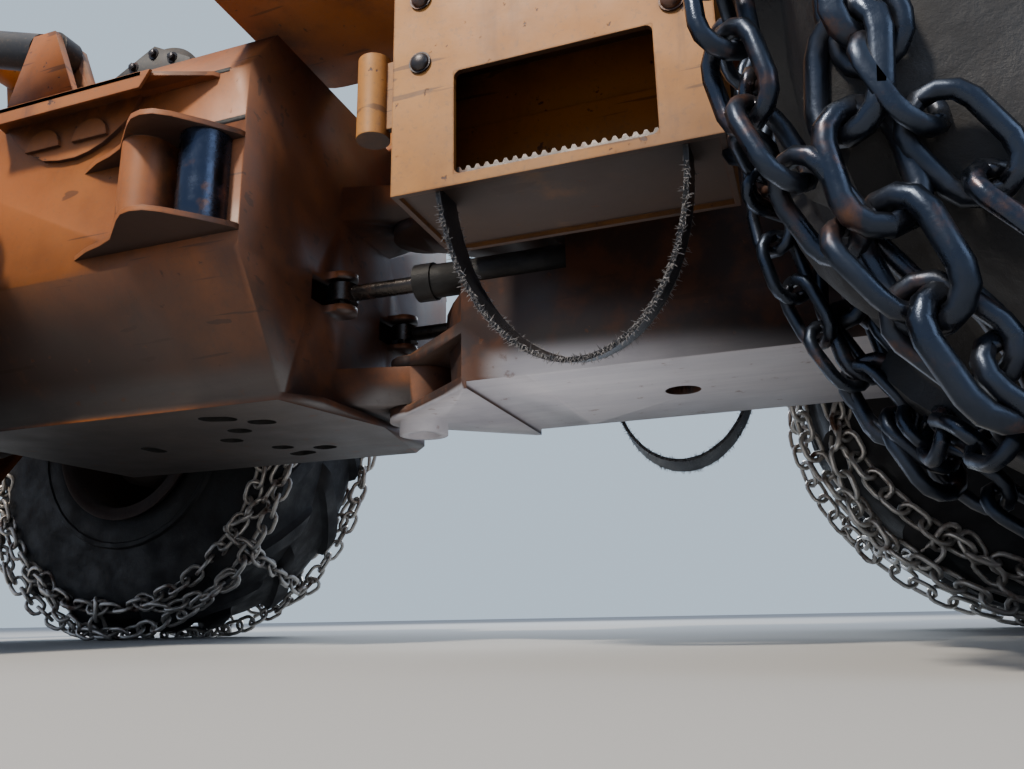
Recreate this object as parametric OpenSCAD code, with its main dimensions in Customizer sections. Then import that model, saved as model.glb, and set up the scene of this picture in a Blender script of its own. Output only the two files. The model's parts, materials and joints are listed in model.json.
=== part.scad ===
// Articulated grapple skidder, millimetres.
// +X is forward, +Y the machine's left side, +Z up, and the ground is at Z = 0.
// Every piece is drawn from the steering pivot and set along X by from_pivot().

/* [Wheels] */
// Steering pivot to the front axle
front_axle_x = 1800; // [1760:5:1850]
// Steering pivot to the rear axle
rear_axle_x = 1720; // [1680:5:1760]
// Radius over the chain, which is also the height of both axles
wheel_r = 830; // [810:5:840]
// Width of a tyre
tyre_w = 640; // [600:5:660]
// Machine centre line to the middle of a tyre
tyre_y = 1020; // [1015:5:1060]
// Radius of the bead seat of a rim
bead_r = 330; // [310:5:345]
// Thickness of a tyre's wall
tyre_wall = 32; // [24:1:40]
// Height of a tread lug
lug_h = 34; // [20:1:40]
// Width of a tread lug
lug_w = 56; // [40:1:64]
// Number of lugs on each half of the tread
lug_count = 20; // [16:1:22]
// Thickness of the chain's links
chain_t = 24; // [18:1:28]
// Number of chain strands across the tread
strand_count = 14; // [10:1:16]

/* [Front frame] */
// Half width of the belly plate between the front wheels
belly_half_w = 296; // [280:2:300]
// Height of the belly plate's underside
belly_z = 611; // [600:1:630]
// Thickness of the frame's side walls
wall_t = 30; // [20:1:34]
// Rear end of the frame's side walls
wall_rear_x = 238; // [230:2:260]
// Front end of the frame's side walls
wall_front_x = 2420; // [2400:5:2440]
// Height of the frame's side walls beside the engine
wall_top_z = 1200; // [1180:5:1220]
// Height of the frame's side walls under the cab
wall_high_z = 1360; // [1350:5:1400]
// Top of the deck under the cab
deck_z = 1620; // [1610:2:1640]
// Thickness of the deck plate
deck_t = 20; // [16:1:24]
// Thickness of the belly plate
belly_t = 25; // [16:1:30]
// Steering pivot to the round port in the belly plate
port_x = 725; // [700:5:740]
// Radius of that port
port_r = 45; // [30:1:60]

/* [Steering pivot] */
// Radius of the two pivot pins
pin_r = 43; // [38:1:46]
// Outer radius of the pivot eyes
eye_r = 95; // [85:1:100]
// Thickness of the lower and the upper eye of the rear frame
eye_t = 106; // [90:2:110]
// Height of the lower eye's middle
low_eye_z = 680; // [676:1:690]
// Height of the upper eye's middle
high_eye_z = 1235; // [1220:1:1250]
// Thickness of the front frame's pivot plates
fork_t = 32; // [24:1:34]
// Radius of the ring below the lower pin
boss_r = 68; // [60:1:80]
// Drop of that ring below the belly plate
boss_drop = 54; // [40:1:60]

/* [Side steps] */
// Half width over the step plates
step_half_w = 784; // [770:2:790]
// Rear edge of a step plate
step_rear_x = 296; // [292:1:300]
// Front edge of a step plate
step_front_x = 935; // [900:5:940]
// Lower edge of a step plate
step_low_z = 854; // [840:2:870]
// Thickness of a step plate
step_t = 12; // [8:1:16]
// Rear edge of a step window
window_rear_x = 430; // [400:5:440]
// Length of a step window
window_len = 393; // [360:1:410]
// Height of a step window
window_h = 225; // [200:5:240]
// Depth of the steps
step_depth = 290; // [240:5:300]
// Drop of a rubber step loop below its plate
loop_drop = 367; // [300:1:380]
// Width of a rubber step loop along the machine
loop_len = 486; // [440:2:500]
// Width of the rubber belt
belt_w = 60; // [50:2:70]
// Thickness of the rubber belt
belt_t = 11; // [8:1:14]

/* [Cab and hood] */
// Rear face of the cab
cab_rear_x = 380; // [370:5:400]
// Front face of the cab
cab_front_x = 1540; // [1500:5:1560]
// Half width of the cab
cab_half_w = 650; // [630:5:660]
// Height of the cab without its roof
cab_h = 1320; // [1280:10:1360]
// Thickness of the cab's walls and doors
cab_t = 50; // [40:1:60]
// Thickness of the cab's roof
roof_t = 90; // [70:5:110]
// Length of a door
door_len = 700; // [640:10:720]
// Height of a door
door_h = 1170; // [1100:10:1200]
// Gap round a door
door_gap = 6; // [5:1:8]
// Half width of the hood
hood_half_w = 430; // [410:5:440]
// Top of the hood
hood_top_z = 2000; // [1960:10:2040]
// Lower edge of the hood
hood_low_z = 1260; // [1250:5:1280]
// Front face of the hood
hood_front_x = 2440; // [2430:5:2450]
// Thickness of the hood's sheets
hood_t = 20; // [12:1:24]

/* [Blade] */
// Half width of the blade
blade_half_w = 1120; // [1050:10:1180]
// Height of the blade's cutting edge above the ground
blade_low_z = 270; // [250:5:300]
// Height of the blade
blade_h = 760; // [700:10:800]
// Front of the blade's cutting edge
blade_front_x = 2990; // [2960:5:3000]
// Thickness of the blade's plate
blade_t = 22; // [16:1:26]
// Blade pivot ahead of the steering pivot
blade_pin_x = 2150; // [2130:5:2170]
// Height of the blade's pivot
blade_pin_z = 760; // [750:5:770]
// Machine centre line to the middle of a blade arm
arm_y = 520; // [515:1:530]
// Thickness of a blade arm
arm_t = 60; // [50:2:64]

/* [Rear frame] */
// Half width of the rear frame
rear_half_w = 600; // [580:5:605]
// Half width of the rear belly plate
rear_belly_half_w = 391; // [380:1:400]
// Height of the rear frame's lower side edge
rear_side_z = 912; // [900:2:930]
// Height where the rear frame's sides lean in
rear_bevel_z = 1404; // [1390:2:1420]
// Top of the rear frame ahead of the axle
rear_top_z = 1560; // [1540:5:1570]
// Top of the rear frame over the axle
rear_deck_z = 1250; // [1230:5:1260]
// Front face of the rear frame
rear_front_x = 200; // [195:1:210]
// Rear face of the rear frame
rear_back_x = 2330; // [2300:5:2360]
// Thickness of the rear frame's plates
rear_t = 25; // [18:1:30]
// Radius of the tow hitch's bore
hitch_r = 32; // [24:1:40]
// Rear face of the rear frame to the bore of the hitch
hitch_reach = 90; // [80:2:110]
// Height of the tow hitch
hitch_z = 1130; // [1080:10:1160]
// Thickness of the tow hitch
hitch_t = 60; // [40:2:70]
// Reach of the side brackets beyond the rear frame
bracket_reach = 80; // [60:1:80]
// Radius of the side rollers
roller_r = 62; // [50:1:64]

/* [Arch] */
// Arch pivot behind the steering pivot
arch_pin_x = 1950; // [1940:5:1960]
// Height of the arch's pivot
arch_pin_z = 1350; // [1340:5:1360]
// Boom pivot behind the steering pivot
boom_pin_x = 2180; // [2170:5:2190]
// Height of the boom's pivot
boom_pin_z = 2480; // [2460:5:2500]
// Machine centre line to the middle of an arch leg
leg_y = 350; // [345:1:352]
// Thickness of an arch leg
leg_t = 60; // [50:2:64]
// Radius of the arch's and boom's pins
boom_pin_r = 40; // [34:1:44]

/* [Grapple] */
// Boom's tip pin behind the steering pivot
tip_x = 3050; // [3030:5:3060]
// Height of the boom's tip pin
tip_z = 2400; // [2390:5:2410]
// Half width of the boom's beam
boom_half_w = 110; // [100:5:120]
// Machine centre line to a tong's pivot
tong_y = 230; // [220:2:240]
// Height of the tongs' pivots
tong_z = 1830; // [1820:2:1840]
// Thickness of a tong's plates
tong_t = 40; // [30:1:40]
// Outer radius of a tong's curve
tong_r = 520; // [500:5:530]

/* [Hidden] */
$fn = 48;

// Clearance of a running fit, and of a free moving face
fit = 0.3;
gap = 5;
big = 4000;

// The grapple's plates reach this far behind the boom's tip pin
head_half_x = 190;
// Half of the machine's length lies on each side of the origin
rear_reach = tip_x + head_half_x;
pivot_x = (rear_reach - blade_front_x) / 2;

// Paint and metal
yellow = "#c8922f";
black = "#2b2a2a";
steel = "#77736c";
rubber = "#1f1f20";
glass = "#9fb4bb";

// Places where the cylinders are pinned, as [x, z] from the steering pivot
arch_base = [-1030, 1750];
arch_top = [-1980, 2070];
blade_base = [blade_pin_x, 1180];
blade_lug = [2690, 600];
boom_base = [-2080, 1620];
boom_lug = [-2640, 2310];
steer_front = [760, 180];
steer_rear = [-160, 190];
steer_z = 930;
arch_cyl_y = 450;

module from_pivot() translate([pivot_x, 0, 0]) children();

module both_sides() {
  children();
  mirror([0, 1, 0]) children();
}

// A plate whose outline is drawn in X and Z, from y to y + t
module side_plate(outline, y, t) {
  translate([0, y + t, 0]) rotate([90, 0, 0]) linear_extrude(t) polygon(outline);
}

// A bar whose section is drawn in Y and Z, from x to x + len
module long_section(outline, x, len) {
  translate([x, 0, 0]) rotate([90, 0, 90]) linear_extrude(len) polygon(outline);
}

module box(low, high) translate(low) cube(high - low);

// A pin along Y, from y to y + len
module cross_pin(place, r, y, len) {
  translate([place[0], y + len, place[1]]) rotate([90, 0, 0]) cylinder(r = r, h = len);
}

function span(a, b) = norm(b - a);
function reverse(points) = [for (i = [len(points) - 1:-1:0]) points[i]];
function mirrored(points) = [for (i = [len(points) - 1:-1:0]) [-points[i][0], points[i][1]]];
function arc(centre, r, from, to, steps) =
  [for (i = [0:steps]) let (a = from + (to - from) * i / steps) centre + r * [cos(a), sin(a)]];

// A hydraulic barrel from its base pin at the origin along +X
// size = [outer r, bore r, rod r, eye r, eye width, pin r]
module barrel(size, len) {
  base = size[3] + 16;
  difference() {
    union() {
      rotate([90, 0, 0]) cylinder(r = size[3], h = size[4], center = true);
      rotate([0, 90, 0]) cylinder(r = size[0], h = len);
      translate([len - 50, 0, 0]) rotate([0, 90, 0]) cylinder(r = size[0] + 6, h = 50);
    }
    translate([base, 0, 0]) rotate([0, 90, 0]) cylinder(r = size[1], h = len - base - 30);
    rotate([0, 90, 0]) translate([0, 0, base]) cylinder(r = size[2] + fit, h = len);
    rotate([90, 0, 0]) cylinder(r = size[5] + fit, h = 2 * size[4], center = true);
    for (s = [-1, 1]) translate([0, s * (size[4] / 2 + size[0]), 0])
      cube([2 * size[3], 2 * size[0], 3 * size[3]], center = true);
  }
}

// The rod of such a barrel, with its eye at span and its piston inside
module rod(size, closed, span) {
  base = size[3] + 22;
  translate([span, 0, 0]) {
    rotate([90, 0, 0]) cylinder(r = size[3], h = size[4], center = true);
    for (s = [-1, 1]) translate([0, s * (size[4] / 2 + 4), 0]) rotate([90, 0, 0])
      cylinder(r = size[5], h = 8, center = true);
  }
  translate([span - closed + base, 0, 0]) rotate([0, 90, 0]) {
    cylinder(r = size[2], h = closed - base);
    cylinder(r = size[1] - fit, h = 40);
  }
}

// Turns a cylinder drawn along +X so that it runs from a to b in the X and Z plane
module aim(a, b, y) {
  translate([a[0], y, a[1]]) rotate([0, -atan2(b[1] - a[1], b[0] - a[0]), 0]) children();
}

// Cylinder sizes, as [outer r, bore r, rod r, eye r, eye width, pin r]
arch_cyl = [58, 47, 32, 60, 60, 32];
blade_cyl = [48, 38, 24, 46, 50, 25];
boom_cyl = [62, 50, 32, 56, 60, 30];
steer_cyl = [45, 36, 22, 42, 50, 22];
tong_cyl = [48, 38, 24, 46, 50, 24];
// Shortest length of each cylinder, pin to pin
arch_closed = 860;
blade_closed = 562;
boom_closed = 680;
steer_closed = 750;
tong_closed = 600;

module front_frame() color(yellow) from_pivot() {
  wall = [[wall_rear_x, belly_z], [1460, belly_z + 20], [front_axle_x - 190, wheel_r + 130],
    [front_axle_x + 190, wheel_r + 130], [front_axle_x + 260, 660], [wall_front_x, 660],
    [wall_front_x, wall_top_z], [1560, wall_top_z], [1480, wall_high_z],
    [wall_rear_x, wall_high_z]];
  difference() {
    union() {
      both_sides() side_plate(wall, belly_half_w - wall_t, wall_t);
      belly();
      for (z = [low_eye_z - eye_t / 2 - 2 - fork_t, low_eye_z + eye_t / 2 + 2,
                high_eye_z - eye_t / 2 - 2 - fork_t, high_eye_z + eye_t / 2 + 2])
        translate([0, 0, z]) fork_plate();
      box([815, -belly_half_w + 1, belly_z + 5], [840, belly_half_w - 1, wall_high_z]);
      box([wall_front_x, -hood_half_w, 640], [wall_front_x + 20, hood_half_w, wall_top_z + 50]);
      both_sides() deck_post();
      deck();
      both_sides() blade_mount();
      both_sides() steer_ears();
      both_sides() box([1562, belly_half_w - wall_t, wall_top_z - 1],
        [wall_front_x, hood_half_w, hood_low_z - fit]);
      translate([0, 0, belly_z - boss_drop]) cylinder(r = boss_r, h = boss_drop);
    }
    translate([0, 0, belly_z - boss_drop - 1]) cylinder(r = pin_r, h = boss_drop);
    box([wall_rear_x - 1, -belly_half_w - 1, steer_z - 65],
      [510, belly_half_w + 1, steer_z + 65]);
  }
  for (z = [low_eye_z, high_eye_z])
    translate([0, 0, z - eye_t / 2 - 10]) cylinder(r = pin_r, h = eye_t + 20);
}

module belly() difference() {
  translate([0, 0, belly_z]) linear_extrude(belly_t) polygon([[wall_rear_x, -belly_half_w],
    [1460, -belly_half_w], [1460, belly_half_w], [wall_rear_x, belly_half_w]]);
  translate([port_x, 0, belly_z - 1]) cylinder(r = port_r, h = belly_t + 2);
}

module fork_plate() linear_extrude(fork_t) {
  circle(eye_r);
  polygon([[0, -eye_r], [wall_rear_x, -belly_half_w], [wall_rear_x + 160, -belly_half_w],
    [wall_rear_x + 160, belly_half_w], [wall_rear_x, belly_half_w], [0, eye_r]]);
}

module deck() {
  corner = 120;
  rear = -304;
  translate([0, 0, deck_z - deck_t]) linear_extrude(deck_t) {
    polygon([[cab_rear_x, -step_half_w + 30], [900, -step_half_w + 30], [900, -cab_half_w],
      [cab_front_x, -cab_half_w], [cab_front_x, cab_half_w], [900, cab_half_w],
      [900, step_half_w - 30], [cab_rear_x, step_half_w - 30]]);
    both_sides() polygon(concat([[cab_rear_x, 184]],
        arc([rear + corner, 184 + corner], corner, 270, 180, 6),
        [[rear, step_half_w - 30], [cab_rear_x, step_half_w - 30]]));
  }
}

module deck_post() {
  for (x = [330, 1440])
    box([x, belly_half_w - wall_t, wall_high_z - 40], [x + 30, belly_half_w + 60, deck_z - deck_t]);
}

module blade_mount() {
  cross_pin([blade_pin_x, blade_pin_z], 40, belly_half_w - 10, arm_y + arm_t / 2 + 20 - belly_half_w);
  cross_pin(blade_base, 40, belly_half_w - 10, arm_y - 28 - belly_half_w);
  cross_pin(blade_base, blade_cyl[5], belly_half_w, arm_y + 40 - belly_half_w);
}

module steer_ears() {
  for (z = [steer_z - 58, steer_z + 30])
    translate([0, 0, z]) linear_extrude(28) {
      translate([steer_front[0], steer_front[1]]) circle(36);
      translate([steer_front[0], steer_front[1] - 36]) square([60, 72]);
    }
  translate([steer_front[0], steer_front[1], steer_z - 50]) cylinder(r = steer_cyl[5], h = 100);
}

module side_steps() color(yellow) from_pivot() both_sides() difference() {
  union() {
    box([step_rear_x, step_half_w - step_t, step_low_z],
      [step_front_x, step_half_w, deck_z - deck_t]);
    for (x = [step_rear_x, step_front_x - step_t])
      box([x, step_half_w - step_depth, step_low_z], [x + step_t, step_half_w, deck_z - deck_t]);
    box([step_rear_x, step_half_w - step_depth, step_low_z],
      [step_front_x, step_half_w - step_depth + step_t, deck_z - deck_t]);
    for (z = [step_low_z + 11, step_low_z + 436])
      box([step_rear_x, step_half_w - step_depth, z], [step_front_x, step_half_w - 2, z + step_t]);
    for (x = [340, 860])
      box([x, belly_half_w, 1000], [x + 20, step_half_w - step_depth + 1, 1300]);
  }
  for (z = [step_low_z + 23, step_low_z + 448])
    box([window_rear_x, step_half_w - step_t - 1, z],
      [window_rear_x + window_len, step_half_w + 1, z + window_h]);
}

function belt_curve(half_len, drop) =
  [for (i = [0:20]) let (a = 180 + 9 * i) [half_len * cos(a), drop * sin(a)]];

module step_loops() color(rubber) from_pivot() both_sides() {
  inner = belt_curve(loop_len / 2 - belt_t, loop_drop - belt_t);
  outer = belt_curve(loop_len / 2, loop_drop);
  top = step_low_z + 11 - fit;
  translate([window_rear_x + window_len / 2, 0, top])
    side_plate(concat(outer, reverse(inner)),
      step_half_w - step_t - 1 - belt_w, belt_w);
}

module hood() color(yellow) from_pivot() {
  section = [[-hood_half_w, hood_low_z], [-hood_half_w, hood_top_z - 110],
    [-hood_half_w + 90, hood_top_z], [hood_half_w - 90, hood_top_z],
    [hood_half_w, hood_top_z - 110], [hood_half_w, hood_low_z]];
  inside = [[-hood_half_w + hood_t, hood_low_z - 1], [-hood_half_w + hood_t, hood_top_z - 120],
    [-hood_half_w + 96, hood_top_z - hood_t], [hood_half_w - 96, hood_top_z - hood_t],
    [hood_half_w - hood_t, hood_top_z - 120], [hood_half_w - hood_t, hood_low_z - 1]];
  x = cab_front_x + 10;
  difference() {
    long_section(section, x, hood_front_x - x);
    long_section(inside, x + hood_t, hood_front_x - x);
  }
}

module grille() color(black) from_pivot() {
  x = hood_front_x + fit;
  difference() {
    box([x, -hood_half_w + 10, wall_top_z + 52], [x + 50, hood_half_w - 10, hood_top_z - 120]);
    box([x - 1, -hood_half_w + 70, hood_low_z + 50], [x + 51, hood_half_w - 70, hood_top_z - 180]);
  }
  for (i = [0:9]) {
    z = hood_low_z + 50 + (hood_top_z - 180 - hood_low_z - 50) * (i + 0.5) / 10;
    box([x + 10, -hood_half_w + 69, z - 8], [x + 40, hood_half_w - 69, z + 8]);
  }
}

module engine_block() color(steel) from_pivot() {
  box([1640, -belly_half_w + wall_t + 20, 1090], [2360, belly_half_w - wall_t - 20, 1180]);
  box([1640, -260, 1180], [2360, 260, 1800]);
  both_sides() box([1800, 180, 1060], [1880, belly_half_w - wall_t, 1150]);
}

module cab_body() color(yellow) from_pivot() {
  top = deck_z + cab_h;
  door_x = cab_rear_x + 110;
  both_sides() set_hinges() hinge_pin();
  difference() {
    box([cab_rear_x, -cab_half_w, deck_z], [cab_front_x, cab_half_w, top]);
    box([cab_rear_x + cab_t, -cab_half_w + cab_t, deck_z + cab_t],
      [cab_front_x - cab_t, cab_half_w - cab_t, top + 1]);
    box([door_x, -cab_half_w - 1, deck_z + 60], [door_x + door_len, cab_half_w + 1,
      deck_z + 60 + door_h]);
    box([door_x + door_len + 80, -cab_half_w - 1, deck_z + 480],
      [cab_front_x - 90, cab_half_w + 1, top - 90]);
    box([cab_rear_x - 1, -cab_half_w + 110, deck_z + 420],
      [cab_front_x + 1, cab_half_w - 110, top - 90]);
  }
}

module cab_roof() color(yellow) from_pivot() {
  z = deck_z + cab_h;
  translate([0, 0, z]) linear_extrude(roof_t) polygon([
    [cab_rear_x - 40, -cab_half_w - 30], [cab_front_x + 10, -cab_half_w - 30],
    [cab_front_x + 90, -cab_half_w + 90], [cab_front_x + 90, cab_half_w - 90],
    [cab_front_x + 10, cab_half_w + 30], [cab_rear_x - 40, cab_half_w + 30]]);
}

module cab_glass() color(glass) from_pivot() {
  top = deck_z + cab_h;
  low = deck_z + 420;
  for (x = [cab_rear_x + 18, cab_front_x - 26])
    box([x, -cab_half_w + 110 + fit, low + fit], [x + 8, cab_half_w - 110 - fit, top - 90 - fit]);
  both_sides() box([cab_rear_x + 190 + door_len + fit, cab_half_w - 26, deck_z + 480 + fit],
    [cab_front_x - 90 - fit, cab_half_w - 18, top - 90 - fit]);
}

module seat() color(black) from_pivot() {
  box([700, -250, 2008 + fit], [1190, 250, 2120]);
  box([600, -240, 2060], [700 - fit, 240, 2700]);
}

module controls() color(black) from_pivot() {
  z = deck_z + cab_t;
  box([760, -180, z], [1120, 180, 2008]);
  box([1330, -300, z], [1480, 300, 2060]);
  translate([1330, 0, 2000]) rotate([0, -35, 0]) cylinder(r = 25, h = 230);
}

module axle(x) from_pivot() {
  translate([x, 0, wheel_r]) {
    sphere(r = 215);
    both_sides() rotate([-90, 0, 0]) {
      cylinder(r = 105, h = 560);
      cylinder(r = 70, h = tyre_y - 100);
      translate([0, 0, 520]) cylinder(r = 126, h = 50);
    }
    children();
  }
}

module front_axle() color(black) axle(front_axle_x) {
  both_sides() box([-120, belly_half_w - wall_t - 20, 80], [120, belly_half_w + 10, 130 - fit]);
}

module rear_axle() color(black) axle(-rear_axle_x) {
  both_sides() box([-120, 300, 80], [120, 400, 130 - fit]);
}

module lamps() color(glass) from_pivot() {
  z = deck_z + cab_h + roof_t + fit;
  for (x = [cab_rear_x + 60, cab_front_x - 20])
    for (y = [-420, 420])
      box([x, y - 70, z], [x + 70, y + 70, z + 90]);
  for (y = [-250, 250])
    box([hood_front_x + 50 + 2 * fit, y - 60, hood_top_z - 178],
      [hood_front_x + 105, y + 60, hood_top_z - 122]);
}

module stacks() color(black) from_pivot() {
  translate([1960, -200, hood_top_z + fit]) {
    cylinder(r = 85, h = 300);
    cylinder(r = 45, h = 700);
  }
  translate([1960, 200, hood_top_z + fit]) {
    cylinder(r = 60, h = 260);
    translate([0, 0, 220]) cylinder(r = 100, h = 130);
  }
}

// Bars from the nose up to the roof
module limb_risers() color(black) from_pivot() both_sides() {
  foot = [hood_front_x - 80, hood_top_z];
  head = [cab_front_x + 90, deck_z + cab_h + roof_t / 2];
  y = hood_half_w - 130;
  intersection() {
    aim(foot, head, y) rotate([0, 90, 0]) translate([0, 0, -60])
      cylinder(r = 30, h = span(foot, head) + 120);
    box([head[0] + fit, 0, foot[1] + fit], [big, big, big]);
  }
  translate([foot[0], y, foot[1] + fit]) cylinder(r = 60, h = 16);
}

module tanks() color(yellow) from_pivot() both_sides() {
  rear = -290;
  translate([0, 0, deck_z]) linear_extrude(560)
    polygon(concat([[cab_rear_x - 20, 200]], arc([rear + 100, 300], 100, 270, 180, 6),
      arc([rear + 100, step_half_w - 140], 100, 180, 90, 6),
      [[cab_rear_x - 20, step_half_w - 40]]));
}

// The hinges of a door on the left side stand at these heights above the deck
hinge_heights = [240, 1000];
hinge_h = 44;

module set_hinges() for (z = hinge_heights)
  translate([cab_rear_x + 116 + door_gap, cab_half_w + 12, deck_z + z]) children();

// The cab's half of a hinge: a pin and two knuckles
module hinge_pin() {
  cylinder(r = 6, h = 3 * hinge_h);
  for (z = [0, 2 * hinge_h]) {
    translate([0, 0, z]) cylinder(r = 10, h = hinge_h - fit);
    box([-16, -8, z], [0, 8, z + hinge_h - fit]);
    box([-50, -13, z], [-14, 8, z + hinge_h - fit]);
  }
}

// The door's half of a hinge
module hinge_knuckle() translate([0, 0, hinge_h]) difference() {
  union() {
    cylinder(r = 10, h = hinge_h - 2 * fit);
    box([-4, -13, 0], [60, -2, hinge_h - 2 * fit]);
  }
  translate([0, 0, -1]) cylinder(r = 6 + fit, h = hinge_h + 2);
}

// A cab door on the left side
module door_panel() {
  set_hinges() hinge_knuckle();
  x = cab_rear_x + 110 + door_gap;
  z = deck_z + 60 + door_gap;
  len = door_len - 2 * door_gap;
  high = door_h - 2 * door_gap;
  difference() {
    box([x, cab_half_w - cab_t, z], [x + len, cab_half_w, z + high]);
    box([x + 80, cab_half_w - cab_t - 1, z + 380], [x + len - 80, cab_half_w + 1, z + high - 80]);
  }
}

module door_pane() {
  x = cab_rear_x + 110 + door_gap;
  z = deck_z + 60 + door_gap;
  box([x + 80 + fit, cab_half_w - 26, z + 380 + fit],
    [x + door_len - 2 * door_gap - 80 - fit, cab_half_w - 18,
      z + door_h - 2 * door_gap - 80 - fit]);
}

module door_left() color(yellow) from_pivot() door_panel();
module door_right() color(yellow) from_pivot() mirror([0, 1, 0]) door_panel();
module door_glass_left() color(glass) from_pivot() door_pane();
module door_glass_right() color(glass) from_pivot() mirror([0, 1, 0]) door_pane();

module blade() color(yellow) from_pivot() {
  r = 620;
  mid = [blade_front_x - 200 + r, blade_low_z + blade_h * 0.48];
  front = arc(mid, r, 144, 220, 10);
  back = arc(mid, r + blade_t, 144, 220, 10);
  intersection() {
    side_plate(concat(front, reverse(back)), -blade_half_w, 2 * blade_half_w);
    box([blade_pin_x, -blade_half_w, blade_low_z], [blade_front_x, blade_half_w,
      blade_low_z + blade_h]);
  }
  box([blade_front_x - 120, -blade_half_w, blade_low_z],
    [blade_front_x, blade_half_w, blade_low_z + 30]);
  both_sides() blade_arm();
}

// An arm with a fork for the cylinder's eye
module blade_arm() {
  pin = [blade_pin_x, blade_pin_z];
  lug_y = blade_cyl[4] / 2 + 8 + gap;
  difference() {
    union() {
      side_plate([pin + [0, -75], pin + [75, -85], [2600, 420], [2800, 360], [2826, 370],
        [2790, 480], [2778, 600], [2788, 770], [2774, 770], [2762, 545], [2700, 512],
        [2600, 530], pin + [75, 60], pin + [0, 75]], arm_y - arm_t / 2, arm_t);
      cross_pin(pin, 75, arm_y - arm_t / 2, arm_t);
      for (y = [arm_y - lug_y - 20, arm_y + lug_y])
        side_plate([blade_lug + [-70, -155], blade_lug + [78, -165], blade_lug + [60, 20],
          blade_lug + [0, 50], blade_lug + [-50, 20]], y, 20);
      for (x = [-20, 20])
        cross_pin(blade_lug + [x, -130 + x / 4], 22, arm_y - lug_y - 20, 2 * lug_y + 40);
    }
    cross_pin(pin, 40 + fit, arm_y - arm_t, 2 * arm_t);
  }
}

module blade_barrels() color(black) from_pivot() both_sides()
  aim(blade_base, blade_lug, arm_y) barrel(blade_cyl, blade_closed - 60);

module blade_rods() color(steel) from_pivot() both_sides()
  aim(blade_base, blade_lug, arm_y) rod(blade_cyl, blade_closed, span(blade_base, blade_lug));

// Radius of the tyre's crown without lugs, and the tyre's section by angle
crown_r = wheel_r - chain_t - lug_h;
function tyre_section(r, half_w) = [for (i = [0:12]) let (a = -90 + 180 * i / 12)
  [bead_r + (r - bead_r) * pow(cos(a), 0.6), half_w * sign(a) * pow(abs(sin(a)), 0.8)]];

// A tyre with its lugs and chain, its axis along Y and its middle at the origin
module tyre() {
  inside = tyre_section(crown_r - tyre_wall, tyre_w / 2 - tyre_wall);
  rotate([90, 0, 0]) rotate_extrude($fn = 96)
    polygon(concat(tyre_section(crown_r, tyre_w / 2), reverse(inside)));
  intersection() {
    rotate([90, 0, 0]) rotate_extrude($fn = 96) polygon(concat(
      tyre_section(crown_r + lug_h, tyre_w / 2),
      [for (p = reverse(tyre_section(crown_r, tyre_w / 2))) [p[0] - 12, p[1] * 0.94]]));
    union() for (side = [-1, 1])
      for (i = [0:lug_count - 1])
        rotate([0, (i + 0.25 * side) * 360 / lug_count, 0]) tread_lug(side);
  }
  for (i = [0:strand_count - 1]) rotate([0, i * 360 / strand_count, 0]) chain_strand();
}

module tread_lug(side) {
  long = tyre_w * 0.54;
  translate([0, side * tyre_w * 0.25, 0]) rotate([0, 0, side * 30])
    translate([-lug_w / 2, -long / 2, bead_r + 220]) cube([lug_w, long, crown_r - bead_r]);
}

module chain_strand() {
  half = tyre_w / 2 - 60;
  translate([-chain_t / 2, -half, crown_r]) cube([chain_t, 2 * half, lug_h + chain_t]);
}

module set_wheel(x, side) from_pivot() translate([x, side * tyre_y, wheel_r])
  mirror([0, side > 0 ? 0 : 1, 0]) children();

module tyre_front_left() color(rubber) set_wheel(front_axle_x, 1) tyre();
module tyre_front_right() color(rubber) set_wheel(front_axle_x, -1) tyre();
module tyre_rear_left() color(rubber) set_wheel(-rear_axle_x, 1) tyre();
module tyre_rear_right() color(rubber) set_wheel(-rear_axle_x, -1) tyre();

// A rim and its hub, the outer side towards +Y
module wheel_disc() rotate([-90, 0, 0]) {
  half = tyre_w / 2;
  rotate_extrude() polygon([[bead_r - 30, -half - 15], [bead_r + 20, -half - 15],
    [bead_r + 20, -half - fit], [bead_r - fit, -half - fit], [bead_r - fit, half + fit],
    [bead_r + 20, half + fit], [bead_r + 20, half + 15], [bead_r - 30, half + 15]]);
  difference() {
    union() {
      translate([0, 0, 40]) cylinder(r = bead_r - 29, h = 30);
      translate([0, 0, -200]) cylinder(r = 190, h = 240);
      translate([0, 0, 70]) cylinder(r = 170, h = 110);
    }
    translate([0, 0, -201]) cylinder(r = 70 + fit, h = 120);
  }
}

module wheel_front_left() color(yellow) set_wheel(front_axle_x, 1) wheel_disc();
module wheel_front_right() color(yellow) set_wheel(front_axle_x, -1) wheel_disc();
module wheel_rear_left() color(yellow) set_wheel(-rear_axle_x, 1) wheel_disc();
module wheel_rear_right() color(yellow) set_wheel(-rear_axle_x, -1) wheel_disc();

// Half of the rear frame's section, from the middle of the belly outwards
function rear_half(inset) = [[rear_belly_half_w - inset * 0.6, belly_z + inset],
  [rear_half_w - inset, rear_side_z + inset * 0.6], [rear_half_w - inset, rear_bevel_z],
  [rear_half_w - 100 - inset, rear_top_z - inset]];

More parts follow.
